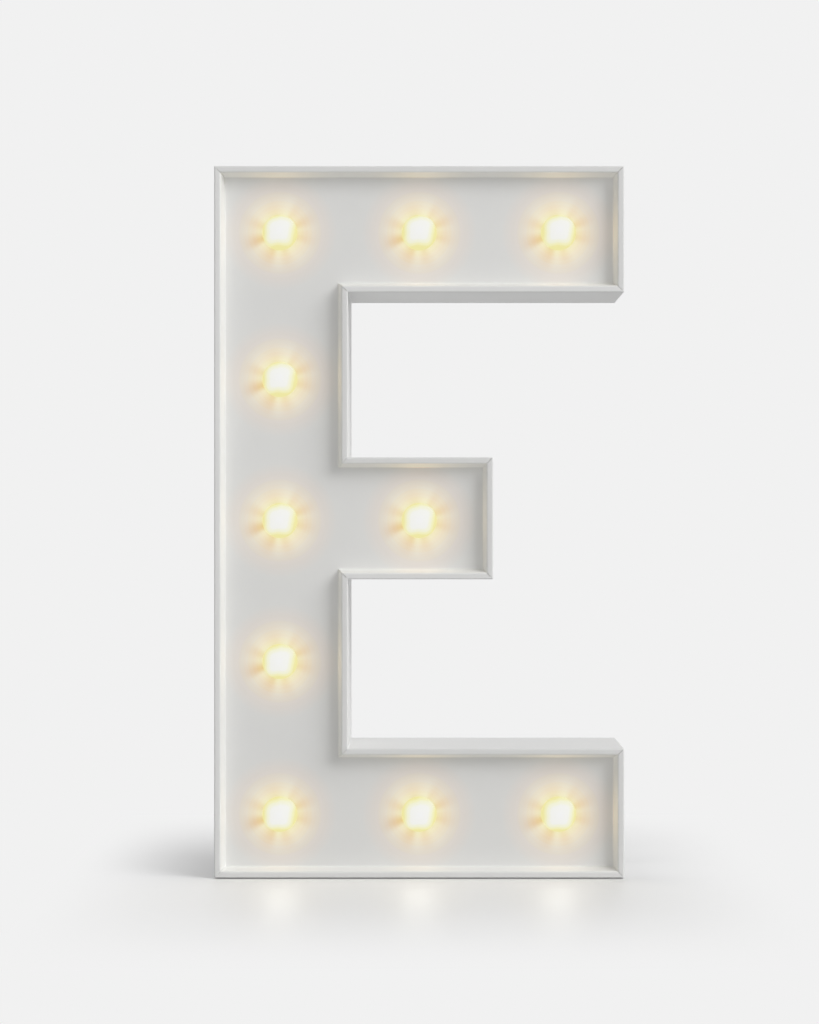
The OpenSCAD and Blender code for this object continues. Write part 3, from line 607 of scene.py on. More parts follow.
# A finish: its colour setting, the scale of its grain, its roughness and how far that varies, and its bump
Finish = namedtuple("Finish", "colour grain rough spread bump metallic", defaults=(0.0,))
FINISHES = {
    "letter_white": Finish("shell", 1800, 0.42, 0.10, 0.05),
    "cover_white": Finish("cover", 1400, 0.5, 0.12, 0.12),
    "plated_steel": Finish("steel", 900, 0.28, 0.14, 0.05, metallic=1.0),
    "knob_black": Finish("knob", 2200, 0.45, 0.15, 0.15),
    "phenolic_brown": Finish("phenolic", 1600, 0.5, 0.15, 0.1),
    "cell_jacket": Finish("jacket", 250, 0.3, 0.03, 0.01),
    "led_resin": Finish("resin", 500, 0.2, 0.06, 0.02),
    "plug_white": Finish("plug", 1200, 0.55, 0.1, 0.1),
    "wire_red": Finish("wire_plus", 800, 0.4, 0.1, 0.05),
    "wire_black": Finish("wire_minus", 800, 0.4, 0.1, 0.05),
    "resistor_tan": Finish("resistor", 900, 0.4, 0.1, 0.05),
    "solder": Finish("solder", 1100, 0.35, 0.15, 0.1, metallic=1.0),
}
# Broad clouds of a finish are this many times as large as its grain, whose relief has this height
CLOUD_SIZE = 40
GRAIN_HEIGHT = 0.05 * MM


def add_grain(tree, shader, **values):
    """The grain group with its own values, feeding a shader's colour and roughness."""
    grain = add_group(tree, bpy.data.node_groups["Moulded grain"], **values)
    tree.links.new(grain.outputs["Colour"], shader.inputs["Base Color"])
    tree.links.new(grain.outputs["Roughness"], shader.inputs["Roughness"])
    return grain


def grain_material(name, colours):
    """A moulded or metal finish on the grain group."""
    finish = FINISHES[name]
    material, tree, shader = new_material(name)
    grain = add_grain(tree, shader, Colour=(*getattr(colours, finish.colour), 1), Grain_Scale=finish.grain,
                      Cloud_Scale=finish.grain / CLOUD_SIZE, Roughness=finish.rough, Spread=finish.spread)
    relief = add_node(tree, "ShaderNodeBump")
    relief.inputs["Strength"].default_value = finish.bump
    relief.inputs["Distance"].default_value = GRAIN_HEIGHT
    tree.links.new(grain.outputs["Height"], relief.inputs["Height"])
    tree.links.new(relief.outputs["Normal"], shader.inputs["Normal"])
    shader.inputs["Metallic"].default_value = finish.metallic
    return material


def shell_material(sizes, colours):
    """Satin white plastic with the lamps' light painted on its face."""
    material = grain_material("letter_white", colours)
    tree = material.node_tree
    shader = tree.nodes["Principled BSDF"]
    halo = add_group(tree, make_halo_group(sizes), Place=own_uv(tree))
    base = shader.inputs["Base Color"].links[0].from_socket
    # The face's colour times the painted warm tint round each lamp
    tree.links.new(mixed(tree, 1.0, base, halo.outputs["Painted_Tint"], "MULTIPLY"), shader.inputs["Base Color"])
    # The lamps' light on the face and slopes is painted as emission: the halo's glow plus the light stored at
    # each vertex
    stored = add_node(tree, "ShaderNodeVertexColor", layer_name="Lamp light")
    light = mixed(tree, 1.0, halo.outputs["Glow"], stored.outputs["Color"], "ADD")
    tree.links.new(light, shader.inputs["Emission Color"])
    shader.inputs["Emission Strength"].default_value = 1.0
    return material


# Light of a cap from its middle to its rim, as a share of its radius
CAP_LIGHT = [(0.0, (0.85, 0.85, 0.85)), (0.5, (0.85, 0.85, 0.82)), (0.72, (0.85, 0.845, 0.67)),
             (0.88, (0.85, 0.825, 0.49)), (1.0, (0.83, 0.775, 0.36))]
# Place of a cap's white core, right of and above its middle, as a share of its radius
CORE_RIGHT = 0.02
CORE_UP = 0.06
# Directions in degrees, anticlockwise from the right, and how far the ribs draw the core out to the rim there
FACETS = [(0, 0.05), (40, 1.0), (78, 0.5), (104, 0.1), (140, 0.45), (186, 0.1), (226, 1.0), (266, 0.0),
          (308, 0.6), (345, 0.0)]
# Factors of the radius where the core isn't drawn out and where it is drawn out most
CORE_SHORT = 1.12
CORE_LONG = 0.84
# Light of a cap as glossy surfaces away from it mirror it, which is brighter than a picture's white
MIRRORED_LIGHT = (4.9, 4.8, 4.4, 1)
# Distances between which the mirrored light sets in
MIRROR_NEAR = 4 * MM
MIRROR_FAR = 12 * MM
# Colour of a cap where it isn't lit
CAP_BASE = (0.05, 0.05, 0.04, 1)


def cap_material():
    """Lit cap: a white core, a little above and right of the middle, that turns yellow towards the rim.

    The ribs inside the cap draw the core out in some directions, so the light follows the radius, which is
    scaled by the angle.
    """
    material, tree, shader = new_material("lamp_cap")
    add_grain(tree, shader, Colour=CAP_BASE, Grain_Scale=900, Cloud_Scale=60, Roughness=0.6, Spread=0.08)
    x, y, _ = split(tree, own_uv(tree))
    radius, share = polar(tree, maths(tree, "SUBTRACT", x, CORE_RIGHT), maths(tree, "SUBTRACT", y, CORE_UP))
    drawn = ramp(tree, share, closed_stops(FACETS))
    scale = mapped(tree, drawn, 0.0, 1.0, CORE_SHORT, CORE_LONG)
    light = ramp(tree, maths(tree, "MULTIPLY", radius, scale), CAP_LIGHT)
    path = add_node(tree, "ShaderNodeLightPath")
    away = mapped(tree, path.outputs["Ray Length"], MIRROR_NEAR, MIRROR_FAR, 0.0, 1.0)
    mirrored = maths(tree, "MULTIPLY", path.outputs["Is Glossy Ray"], away)
    tree.links.new(mixed(tree, mirrored, light, MIRRORED_LIGHT), shader.inputs["Emission Color"])
    shader.inputs["Emission Strength"].default_value = 1.0
    shader.inputs["Specular IOR Level"].default_value = 0.0
    return material


# Pieces

def letter_corners(sizes):
    """The twelve corners (x, z) of the letter, anticlockwise as seen from the front."""
    left, right, base, top = shell_low.x, shell_high.x, shell_low.z, shell_high.z
    stem = left + sizes.stem_width
    middle_end = left + sizes.mid_arm_reach
    middle_low, middle_high = base + sizes.mid_arm_base, base + sizes.mid_arm_base + sizes.mid_arm
    bottom_high, top_low = base + sizes.bottom_arm, top - sizes.top_arm
    return np.array([
        [left, base], [right, base], [right, bottom_high], [stem, bottom_high], [stem, middle_low],
        [middle_end, middle_low], [middle_end, middle_high], [stem, middle_high], [stem, top_low],
        [right, top_low], [right, top], [left, top]])


def screw_places(sizes):
    """Places (x, z) of the eight cover screws."""
    corners = letter_corners(sizes)
    (left, base), (right, top) = corners[0], corners[10]
    inset = sizes.screw_inset
    between = (lamp_centres[1, 0] + lamp_centres[2, 0]) / 2
    return np.array([
        [left + inset, top - inset], [between, corners[9, 1] + inset], [right - inset, top - inset],
        [corners[3, 0] - inset, (lamp_centres[0, 1] + lamp_centres[3, 1]) / 2],
        [corners[5, 0] - inset, lamp_centres[4, 1]],
        [left + inset, base + inset], [between, corners[2, 1] - inset], [right - inset, base + inset]])


# How far the bends of the letter's corners reach, their support, and the points between two corners
CORNER_BEND = 0.3 * MM
CORNER_SUPPORT = 0.15 * MM
SIDE_POINTS = 32
# Steps of a bend at the letter's corners and along the profile of its walls
BEND_STEPS = 4
PROFILE_STEPS = 6
# How far the walls' profile laps over the face, and how far before the slope's foot the mitre line ends
FACE_LAP = 1.0 * MM
MITRE_END = 0.3 * MM
# Least distance of the face's inner points from the letter's edge
FACE_MARGIN = 5 * MM


def carried_profile(sizes, profile):
    """A profile of inset and depth carried round the letter's outline, with softly bent corners."""
    outline = inset_corners(letter_corners(sizes), profile[:, 0])
    rings = rounded_loop(outline, CORNER_BEND, CORNER_SUPPORT, BEND_STEPS, between=SIDE_POINTS)
    y = np.broadcast_to((shell_low.y + profile[:, 1])[:, None], rings.shape[:2])
    return np.stack([rings[..., 0], y, rings[..., 1]], axis=-1)


def lamp_uv(sizes, corners):
    """UV of faces from their corners (x, z), counted from the lamp nearest to each face, in halo radii."""
    apart = np.linalg.norm(corners.mean(axis=1)[:, None] - lamp_centres[None], axis=-1)
    return (corners - lamp_centres[apart.argmin(axis=1)][:, None]) / sizes.halo_reach


def lit_part(sizes, points):
    """Vertices, faces and lamp UV of a grid of points."""
    places, faces = grid_part(points)[:2]
    return places, faces, lamp_uv(sizes, places[faces][..., ::2])


def cover_inside(sizes):
    """Depth of the back cover's inner side."""
    return cover_high.y - shell_low.y - sizes.cover


def shell_rings(sizes):
    """The shell's walls as a profile of inset and depth carried round the letter's outline.

    The profile starts on the face, climbs the slope, crosses the rim, and goes down the outer wall, round the
    rear edge, over the cover's ledge and down the inner wall to the back of the face. In the middle of each
    corner of the letter its rim is sunk along its own normal, which leaves a fine mitre line.
    """
    depth, cover_in = shell_high.y - shell_low.y, cover_inside(sizes)
    face_back, ledge_in = sizes.recess + sizes.face, sizes.wall - sizes.ledge
    foot = sizes.rim + sizes.slope
    # Inset and depth of each corner of the profile, how far its bend reaches, and the bend's support
    corners = np.array([
        [foot + FACE_LAP, sizes.recess, 0, 0],
        [foot, sizes.recess, 0.5 * MM, 0.2 * MM],
        [sizes.rim, sizes.rim_drop, sizes.rim_round, 0.1 * MM],
        [0, 0, sizes.edge_round, 0.1 * MM],
        [0, depth, 0.3 * MM, 0.2 * MM],
        [ledge_in, depth, 0.2 * MM, 0.1 * MM],
        [ledge_in, cover_in, 0.1 * MM, 0.1 * MM],
        [sizes.wall, cover_in, 0.1 * MM, 0.1 * MM],
        [sizes.wall, face_back, 0.3 * MM, 0.1 * MM],
        [foot, face_back, 0, 0]])
    profile = rounded_line(corners[:, :2], corners[:, 2:3], corners[:, 3:], PROFILE_STEPS)
    rings = carried_profile(sizes, profile)
    across, along = unit(np.gradient(profile, axis=0)).T
    inset, level = profile.T
    on_rim = (inset > sizes.edge_round) & (inset < foot - MITRE_END) & (level < sizes.recess)
    sunk = profile + sizes.mitre_depth * on_rim[:, None] * np.stack([along, -across], axis=-1)
    per_corner = rings.shape[1] // len(letter_corners(sizes))
    mitre = np.arange(BEND_STEPS // 2 + 1, rings.shape[1], per_corner)
    rings[:, mitre] = carried_profile(sizes, sunk)[:, mitre]
    return rings


def at_depth(flat, depth):
    """Points (x, z) placed at a depth."""
    return np.stack([flat[:, 0], np.full(len(flat), shell_low.y + depth), flat[:, 1]], axis=-1)


def face_part(sizes, edge, hole_r):
    """The lamp face with its round holes, and points spread evenly between them."""
    rings = [edge, *circles(lamp_centres, hole_r, ROUND_POINTS)]
    x, z = (np.arange(low, high, sizes.face_mesh) for low, high in zip(edge.min(axis=0), edge.max(axis=0)))
    spread = np.stack(np.meshgrid(x, z), axis=-1).reshape(-1, 2)
    clear = nearest(spread, lamp_centres) > hole_r + sizes.face_mesh / 3
    margin = inset_corners(letter_corners(sizes), [FACE_MARGIN])[0]
    loose = spread[clear & inside_outline(spread, margin)]
    flat, triangles = filled_flat(rings, lamp_centres, hole_r, [loose])
    return at_depth(flat, sizes.recess), triangles, lamp_uv(sizes, flat[triangles])


def back_part(sizes, edge, socket_r, bosses):
    """The back of the lamp face between the sockets and the screw bosses."""
    boss_r = sizes.boss_width / 2
    rings = [edge, *circles(lamp_centres, socket_r, ROUND_POINTS), *circles(bosses, boss_r, BOSS_POINTS)]
    flat, triangles = filled_flat(rings, lamp_centres, socket_r)
    triangles = triangles[nearest(flat[triangles].mean(axis=1), bosses) > boss_r]
    return unlit_part(at_depth(flat, sizes.recess + sizes.face), triangles)


def shell_parts(sizes):
    """The shell's walls, closed by the face and its back, with lamp holes, sockets and screw bosses."""
    cover_in, face_back = cover_inside(sizes), sizes.recess + sizes.face
    hole_r = sizes.cap_width / 2 + sizes.seat_gap
    socket_r = (plug_high.x - plug_low.x) / 2 + sizes.seat_gap
    outer_r = socket_r + sizes.socket_wall
    socket_back = plug_high.y - shell_low.y
    boss_r, bore_r = sizes.boss_width / 2, sizes.boss_bore / 2
    bore_end = cover_in - sizes.screw_length
    hole = np.array([[hole_r, sizes.recess], [hole_r, face_back]])
    socket = np.array([
        [hole_r, face_back], [socket_r, face_back], [socket_r, socket_back], [outer_r, socket_back],
        [outer_r, face_back]])
    boss = np.array([
        [boss_r, face_back], [boss_r, cover_in], [bore_r, cover_in], [bore_r, bore_end], [0, bore_end]])
    rings, bosses = shell_rings(sizes), screw_places(sizes)
    return [
        lit_part(sizes, rings),
        face_part(sizes, rings[0, :, ::2], hole_r),
        back_part(sizes, rings[-1, :, ::2], outer_r, bosses),
        *[lit_part(sizes, turned(hole, centre, ROUND_POINTS)) for centre in lamp_centres],
        *[grid_part(turned(socket, centre, ROUND_POINTS)) for centre in lamp_centres],
        *[grid_part(turned(boss, centre, BOSS_POINTS)) for centre in bosses]]


# How strongly the key light holds the lamps' light back
KEY_SHARE = 1.15
# Power of the distance with which a lamp's side light falls off
BEAM_FALL = 6
# Where on the rim the lamps' light starts, as a share of its width
LIT_RIM = 0.9


def light_recess(shell, sizes, colours, key_direction):
    """Stores the lamps' light on the recess as a colour of each vertex.

    The light is a scattered part on the slopes, plus one part for each lamp: the cosine between the normal of
    the surface and the way to the lamp, times the sixth power of the beam's reach over the distance. It adds
    little where the key light makes the surface nearly white already, so it is scaled by one less a share of
    the cosine between the normal and the key light. The face counts as flat up to the edges of its holes.
    """
    mesh = shell.data
    place = read_rows(mesh.vertices, "co")
    normal = read_rows(mesh.vertex_normals, "vector")
    face_y = shell_low.y + sizes.recess
    on_face = np.abs(place[:, 1] - face_y) < sizes.seat_gap
    beside_lamp = nearest(place[:, ::2], lamp_centres) < sizes.cap_width
    normal[on_face & beside_lamp] = (0, -1, 0)
    lamps = np.insert(lamp_centres, 1, face_y - sizes.beam_height, axis=1)
    way = lamps[None] - place[:, None]
    distance = np.linalg.norm(way, axis=-1)
    cosine = np.clip((way * normal[:, None]).sum(axis=-1) / distance, 0, 1)
    beams = (cosine * np.minimum(1, sizes.beam_reach / distance) ** BEAM_FALL).sum(axis=1, keepdims=True)
    edge = inset_corners(letter_corners(sizes), [sizes.rim * LIT_RIM])[0]
    inside = inside_outline(place[:, ::2], edge) & (place[:, 1] < face_y + sizes.seat_gap)
    scattered = (1 - np.abs(normal[:, 1:2])) * np.array(colours.recess_light)
    unlit = np.clip(1 - KEY_SHARE * normal @ unit(np.array(key_direction)), 0, 1)
    light = (inside * unlit)[:, None] * (scattered + beams * np.array(colours.beam_light))
    stored = mesh.color_attributes.new("Lamp light", "FLOAT_COLOR", "POINT")
    stored.data.foreach_set("color", np.insert(light, 3, 1, axis=1).astype(np.float32).ravel())


class LETTER_OT_shell(bpy.types.Operator):
    """Make the moulded front shell with its rim, face, sockets and bosses"""

    bl_idname = "letter.shell"
    bl_label = "Shell"

    def execute(self, context):
        sizes, colours = context.scene.letter_sizes, context.scene.letter_colours
        material = shell_material(sizes, colours)
        shell = new_piece("shell", shell_parts(sizes), material, "letter", "letter_white", "front_shell")
        light_recess(shell, sizes, colours, context.scene.letter_stage.key_direction)
        return {"FINISHED"}


# Points round a cap, steps up its dome, and ribs inside its skirt
CAP_POINTS = 80
DOME_STEPS = 15
CAP_RIBS = 10


def cap_points(sizes, centre):
    """A domed cap with a flange, turned about its lamp's axis, with soft ribs inside its skirt.

    The inner radius falls by the rib's height times the fourth power of a cosine, whose angle is the angle
    round the lamp times half the number of ribs.
    """
    cap_r, flange_r = sizes.cap_width / 2, (cap_high.x - cap_low.x) / 2
    inner_r = cap_r - sizes.cap_wall
    tip, back = cap_low.y - shell_low.y, cap_high.y - shell_low.y
    dome, flange_front = tip + cap_r, back - sizes.cap_flange
    arc = np.linspace(0, math.pi / 2, DOME_STEPS)[:, None]
    outer_dome = np.hstack([cap_r * np.sin(arc), dome - cap_r * np.cos(arc)])
    inner_dome = np.hstack([inner_r * np.sin(arc), dome - inner_r * np.cos(arc)])[::-1]
    skirt = np.array([[cap_r, flange_front], [flange_r, flange_front], [flange_r, back], [inner_r, back]])
    profile = np.concatenate([outer_dome, skirt, inner_dome])
    points = turned(profile, centre, CAP_POINTS)
    ribbed = np.isclose(profile[:, :1], inner_r)
    shrink = 1 - ribbed * sizes.cap_rib / inner_r * np.cos(CAP_RIBS / 2 * full_turn(CAP_POINTS)) ** 4
    points[..., 0] = centre[0] + (points[..., 0] - centre[0]) * shrink
    points[..., 2] = centre[1] + (points[..., 2] - centre[1]) * shrink
    return points


class LETTER_OT_caps(bpy.types.Operator):
    """Make the ten lit lamp caps"""

    bl_idname = "letter.caps"
    bl_label = "Lamp caps"

    def execute(self, context):
        sizes = context.scene.letter_sizes
        material = cap_material()
        for lamp, centre in zip(LAMPS, lamp_centres):
            points = cap_points(sizes, centre)
            part = grid_part(points, uv=(points[..., ::2] - centre) / (sizes.cap_width / 2))
            name = lamp.replace("bulb_cap", "cap")
            cap = new_piece(name, [part], material, "letter", "lamp_cap", lamp)
            cap.visible_shadow = False
        return {"FINISHED"}


def softened(name, node, width, material, body):
    """A copy of a model node, merged, with its flat triangles joined and its sharp edges softly bevelled."""
    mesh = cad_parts[node].data.copy()
    work = bmesh.new()
    work.from_mesh(mesh)
    bmesh.ops.remove_doubles(work, verts=work.verts, dist=MERGE_DISTANCE)
    bmesh.ops.dissolve_limit(work, angle_limit=FLAT_ANGLE, verts=work.verts, edges=work.edges)
    work.to_mesh(mesh)
    work.free()
    piece = add_piece(name, mesh, material, body, [node])
    edges = piece.modifiers.new("Soft edges", "BEVEL")
    edges.width, edges.segments = width, 2
    edges.limit_method, edges.angle_limit = "ANGLE", SMOOTH_ANGLE
    edges.use_clamp_overlap = False
    edges.harden_normals = True


def finish_nodes(material, *nodes):
    """Gives model nodes their finish."""
    for node in nodes:
        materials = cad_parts[node].data.materials
        materials.clear()
        materials.append(material)


class LETTER_OT_back(bpy.types.Operator):
    """Finish the back cover, the battery door and its latch"""

    bl_idname = "letter.back"
    bl_label = "Back cover and battery door"

    def execute(self, context):
        sizes, colours = context.scene.letter_sizes, context.scene.letter_colours
        material = grain_material("cover_white", colours)
        softened("cover", "back_cover", sizes.soft_edge, material, "letter")
        softened("door", "battery_door", sizes.soft_edge, material, "door")
        softened("latch", "door_latch", sizes.fine_edge, material, "latch")
        return {"FINISHED"}


# Points round a screw, and steps across its head and along its shaft
SCREW_POINTS = 72
HEAD_STEPS = 44
SHAFT_STEPS = 120
# Width over which the sides of the cross recess fall off
SLOT_EDGE = 0.08 * MM
# Share of the shaft's length that is its point, and share of its radius by which the thread swings
POINT_SHARE = 0.12
THREAD_SHARE = 0.1


def slot_mask(sizes, along, across):
    """One inside a slot of the cross recess and nothing outside it, with soft sides."""
    ends = np.clip((sizes.cross_length / 2 - np.abs(along)) / SLOT_EDGE, 0, 1)
    return ends * np.clip((sizes.cross_width / 2 - np.abs(across)) / SLOT_EDGE, 0, 1)


def screw_part(sizes, centre):
    """A pan-head screw: a crowned head with a cross recess, and a threaded shaft with a point.

    The head is a disc. Its height at radius r is the head's times the root of one less the fourth power of r
    over the head's radius, less the recess, which falls off softly at the edges of two crossed slots. The
    shaft's radius swings with the cosine of the angle less the turn of the thread at that depth.
    """
    head_r, shaft_r = sizes.screw_head / 2, sizes.screw_shaft / 2
    seat, top = cover_high.y, screws_high.y
    angle = full_turn(SCREW_POINTS)
    r = head_r * np.sin(np.linspace(0, math.pi / 2, HEAD_STEPS))[:, None]
    x, z = r * np.cos(angle), r * np.sin(angle)
    crown = (top - seat) * np.sqrt(1 - np.clip(r / head_r, 0, 1) ** 4)
    cross = np.maximum(slot_mask(sizes, x, z), slot_mask(sizes, z, x))
    head = np.stack([centre[0] + x, seat + crown - sizes.cross_depth * cross, centre[1] + z], axis=-1)
    share = np.linspace(0, 1, SHAFT_STEPS)[:, None]
    depth = share * sizes.screw_length
    taper = np.clip((1 - share) / POINT_SHARE, 0, 1)
    thread = THREAD_SHARE * (np.cos(angle - 2 * math.pi * depth / sizes.screw_pitch) - 1)
    radius = shaft_r * (1 + thread) * taper
    shaft = np.stack([centre[0] + radius * np.cos(angle), np.broadcast_to(seat - depth, radius.shape),
                      centre[1] + radius * np.sin(angle)], axis=-1)
    return grid_part(np.concatenate([head, shaft]))


class LETTER_OT_screws(bpy.types.Operator):
    """Make the eight screws of the back cover"""

    bl_idname = "letter.screws"
    bl_label = "Cover screws"

    def execute(self, context):
        sizes, colours = context.scene.letter_sizes, context.scene.letter_colours
        steel = grain_material("plated_steel", colours)
        parts = [screw_part(sizes, centre) for centre in screw_places(sizes)]
        new_piece("screws", parts, steel, "letter", "plated_steel", "cover_screws")
        return {"FINISHED"}


# Size of a text over the height of its capitals, and half the width of each word over that height
TEXT_SIZE = 1.4
HALF_ON = 1.0
HALF_OFF = 1.4


def mark_part(word, height, relief, centre, surface):
    """A raised word that faces backwards, from a text made a mesh: right becomes -x, up becomes z."""
    text = bpy.data.curves.new(word, "FONT")
    text.body = word
    text.align_x, text.align_y = "CENTER", "CENTER"
    text.size = height * TEXT_SIZE
    text.extrude = relief
    text.resolution_u = 3
    holder = add_object(word, text)
    bpy.context.view_layer.update()
    mesh = holder.evaluated_get(bpy.context.evaluated_depsgraph_get()).to_mesh()
    mesh.calc_loop_triangles()
    x, up, out = read_rows(mesh.vertices, "co").T
    triangles = read_rows(mesh.loop_triangles, "vertices", np.int32)
    points = np.stack([centre[0] - x, surface + out, centre[1] + up], axis=-1)
    bpy.data.objects.remove(holder)
    bpy.data.curves.remove(text)
    return unlit_part(points, triangles)


class LETTER_OT_switch(bpy.types.Operator):
    """Finish the slide switch, and raise ON and OFF beside it"""

    bl_idname = "letter.switch"
    bl_label = "Slide switch"

    def execute(self, context):
        sizes, colours = context.scene.letter_sizes, context.scene.letter_colours
        black = grain_material("knob_black", colours)
        softened("knob", "switch_knob", sizes.fine_edge, black, "knob")
        finish_nodes(bpy.data.materials["plated_steel"], "switch_frame", "switch_terminals", "switch_screws")
        finish_nodes(grain_material("phenolic_brown", colours), "switch_base")
        height = sizes.mark_height
        on_x = knob_high.x + sizes.mark_gap + HALF_ON * height
        off_x = knob_low.x - sizes.switch_travel - sizes.mark_gap - HALF_OFF * height
        level = (knob_low.z + knob_high.z) / 2
        parts = [mark_part(word, height, sizes.mark_relief, (x, level), cover_high.y)
                 for word, x in (("ON", on_x), ("OFF", off_x))]
        new_piece("switch_marks", parts, black, "letter", "knob_black")
        return {"FINISHED"}


# How far the bends of a cell's profile reach, and their support
CELL_BEND = 0.1 * MM
CELL_SUPPORT = 0.05 * MM


def cell_points(sizes, node, up):
    """An AA cell turned about its upright axis, with its rolled jacket edges, recessed ends and button.

    The profile of radius and height runs from the middle of the flat end to the middle of the button, and is
    turned upside down where the button points down. UV holds the angle's share and the height's share.
    """
    low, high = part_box(node)
    middle, size = (low + high) / 2, high - low
    r, button_r = size.x / 2 / MM, sizes.cell_button / 2 / MM
    line = np.array([
        [0, 0.1], [4.7, 0.1], [4.9, 0.0], [5.3, 0.0], [5.6, 0.45], [6.1, 0.45], [6.3, 0.1], [6.9, 0.1],
        [r, 0.5], [r, 48.6], [6.9, 49.1], [6.3, 49.1], [6.0, 48.7], [3.3, 48.7], [button_r, 48.9],
        [button_r, 49.9], [2.4, 50.2], [0, 50.2]]) * MM
    profile = rounded_line(line, CELL_BEND, CELL_SUPPORT, steps=2)
    angle = full_turn(ROUND_POINTS)
    height = np.broadcast_to(profile[:, 1:], (len(profile), ROUND_POINTS))
    x = middle.x + profile[:, :1] * np.cos(angle)
    y = middle.y + up * profile[:, :1] * np.sin(angle)
    z = low.z + height if up > 0 else high.z - height
    uv = np.stack(np.broadcast_arrays(angle / (2 * math.pi), height / size.z), axis=-1)
    return np.stack([x, y, z], axis=-1), uv


# Shares of a cell's height between which its pale band and its jacket lie
CELL_BAND = (0.765, 0.905)
CELL_JACKET = (0.004, 0.973)


def cell_material(colours):
    """Printed foil jacket with a pale band near the button, between bare steel ends."""
    material = grain_material("cell_jacket", colours)
    tree = material.node_tree
    shader = tree.nodes["Principled BSDF"]
    height = split(tree, own_uv(tree))[1]
    band = stripe(tree, height, *CELL_BAND)
    wrapped = stripe(tree, height, *CELL_JACKET)
    base = mixed(tree, band, shader.inputs["Base Color"].links[0].from_socket, (*colours.band, 1))
    tree.links.new(mixed(tree, wrapped, (*colours.steel, 1), base), shader.inputs["Base Color"])
    tree.links.new(maths(tree, "SUBTRACT", 1.0, wrapped), shader.inputs["Metallic"])
    return material


# Turns of a spring, steps in each, share of it that lies flat at either end, and points round its wire
SPRING_TURNS = 3
SPRING_STEPS = 48
SPRING_FLAT = 0.1
WIRE_POINTS = 12


def spring_points(sizes, node, cell, up):
    """A conical coil of round wire under a cell, from its wide foot to its narrow tip.

    The radius of the middle line shrinks evenly as it turns. The line lies flat over the first and last part
    of the turns and climbs evenly between. A circle stands across it at each step, closed to a point at both
    ends.
    """
    low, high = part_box(node)
    wire_r, wide_r, narrow_r = sizes.spring_wire / 2, sizes.spring_wide / 2, sizes.spring_narrow / 2
    middle_x = node_middle(cell).x
    middle_y = low.y + wide_r + wire_r if up > 0 else high.y - wide_r - wire_r
    share = np.linspace(0, 1, SPRING_TURNS * SPRING_STEPS + 1)
    angle = 2 * math.pi * SPRING_TURNS * share
    radius = wide_r + (narrow_r - wide_r) * share
    climb = np.clip((share - SPRING_FLAT) / (1 - 2 * SPRING_FLAT), 0, 1)
    rise = wire_r + (high.z - low.z - 2 * wire_r) * climb
    line = np.stack([radius * np.cos(angle), radius * np.sin(angle), rise], axis=-1)
    along = unit(np.gradient(line, axis=0))
    outward = np.stack([np.cos(angle), np.sin(angle), np.zeros_like(angle)], axis=-1)
    outward = unit(outward - (outward * along).sum(axis=-1, keepdims=True) * along)
    across = np.cross(along, outward)
    turn = full_turn(WIRE_POINTS)[:, None]
    thick = np.where((share == 0) | (share == 1), 0, wire_r)[:, None, None]
    points = line[:, None] + thick * (np.cos(turn) * outward[:, None] + np.sin(turn) * across[:, None])
    x, y, z = np.moveaxis(points, -1, 0)
    return np.stack([middle_x + x, middle_y + up * y, low.z + z if up > 0 else high.z - z], axis=-1)


class LETTER_OT_power(bpy.types.Operator):
    """Make the cells and their springs, and finish the contacts"""

    bl_idname = "letter.power"
    bl_label = "Cells and contacts"

    def execute(self, context):
        sizes, colours = context.scene.letter_sizes, context.scene.letter_colours
        jacket, steel = cell_material(colours), bpy.data.materials["plated_steel"]
        for name, node, up in (("cell_left", "battery_left", 1), ("cell_right", "battery_right", -1)):
            points, uv = cell_points(sizes, node, up)
            new_piece(name, [grid_part(points, uv=uv)], jacket, "letter", "cell_jacket", node)
        for name, node, cell, up in (("coil_bridge", "spring_bridge", "battery_left", 1),
                                     ("coil_minus", "spring_minus", "battery_right", -1)):
            coil = grid_part(spring_points(sizes, node, cell, up))
            new_piece(name, [coil], steel, "letter", "plated_steel", node)
        finish_nodes(steel, "contact_plus", "contact_minus", "contact_bridge")
        return {"FINISHED"}


# Model nodes inside the letter by their finish
INNER_NODES = {
    "led_resin": [f"led_{i}" for i in LAMP_NUMBERS],
    "plug_white": [f"led_plug_{i}" for i in LAMP_NUMBERS],
    "wire_red": ["lead_battery_switch", "lead_switch_lamps", "lamp_wires_plus"],
    "wire_black": ["lead_battery_lamps", "lamp_wires_minus"],
    "resistor_tan": ["resistor"],
    "solder": ["solder_joints"],
}


class LETTER_OT_wiring(bpy.types.Operator):
    """Finish the diodes, plugs, wires and joints inside the letter"""

    bl_idname = "letter.wiring"
    bl_label = "Diodes and wiring"

    def execute(self, context):
        for finish, nodes in INNER_NODES.items():
            finish_nodes(grain_material(finish, context.scene.letter_colours), *nodes)
        finish_nodes(bpy.data.materials["plated_steel"], "led_legs")
        return {"FINISHED"}


# Stage

def seen_directly(tree):
    """One for rays that show a surface as it is: from the camera, off gloss or through glass."""
    path = add_node(tree, "ShaderNodeLightPath").outputs
    gloss = maths(tree, "MAXIMUM", path["Is Glossy Ray"], path["Is Transmission Ray"])
    return maths(tree, "MAXIMUM", path["Is Camera Ray"], gloss)


def away_from_foot(tree, place, side):
    """Distance of a place on the floor from the box that the letter's foot covers, moved to the right."""
    middle, half = (shell_low + shell_high) / 2 + Vector((side, 0, 0)), (shell_high - shell_low) / 2
    off = vector_maths(tree, "SUBTRACT", place, middle)[0]
    size = vector_maths(tree, "ABSOLUTE", off)[0]
    past = vector_maths(tree, "SUBTRACT", size, half)[0]
    outside = vector_maths(tree, "MAXIMUM", past, (0, 0, 0))[0]
    return vector_maths(tree, "LENGTH", outside)["Value"]


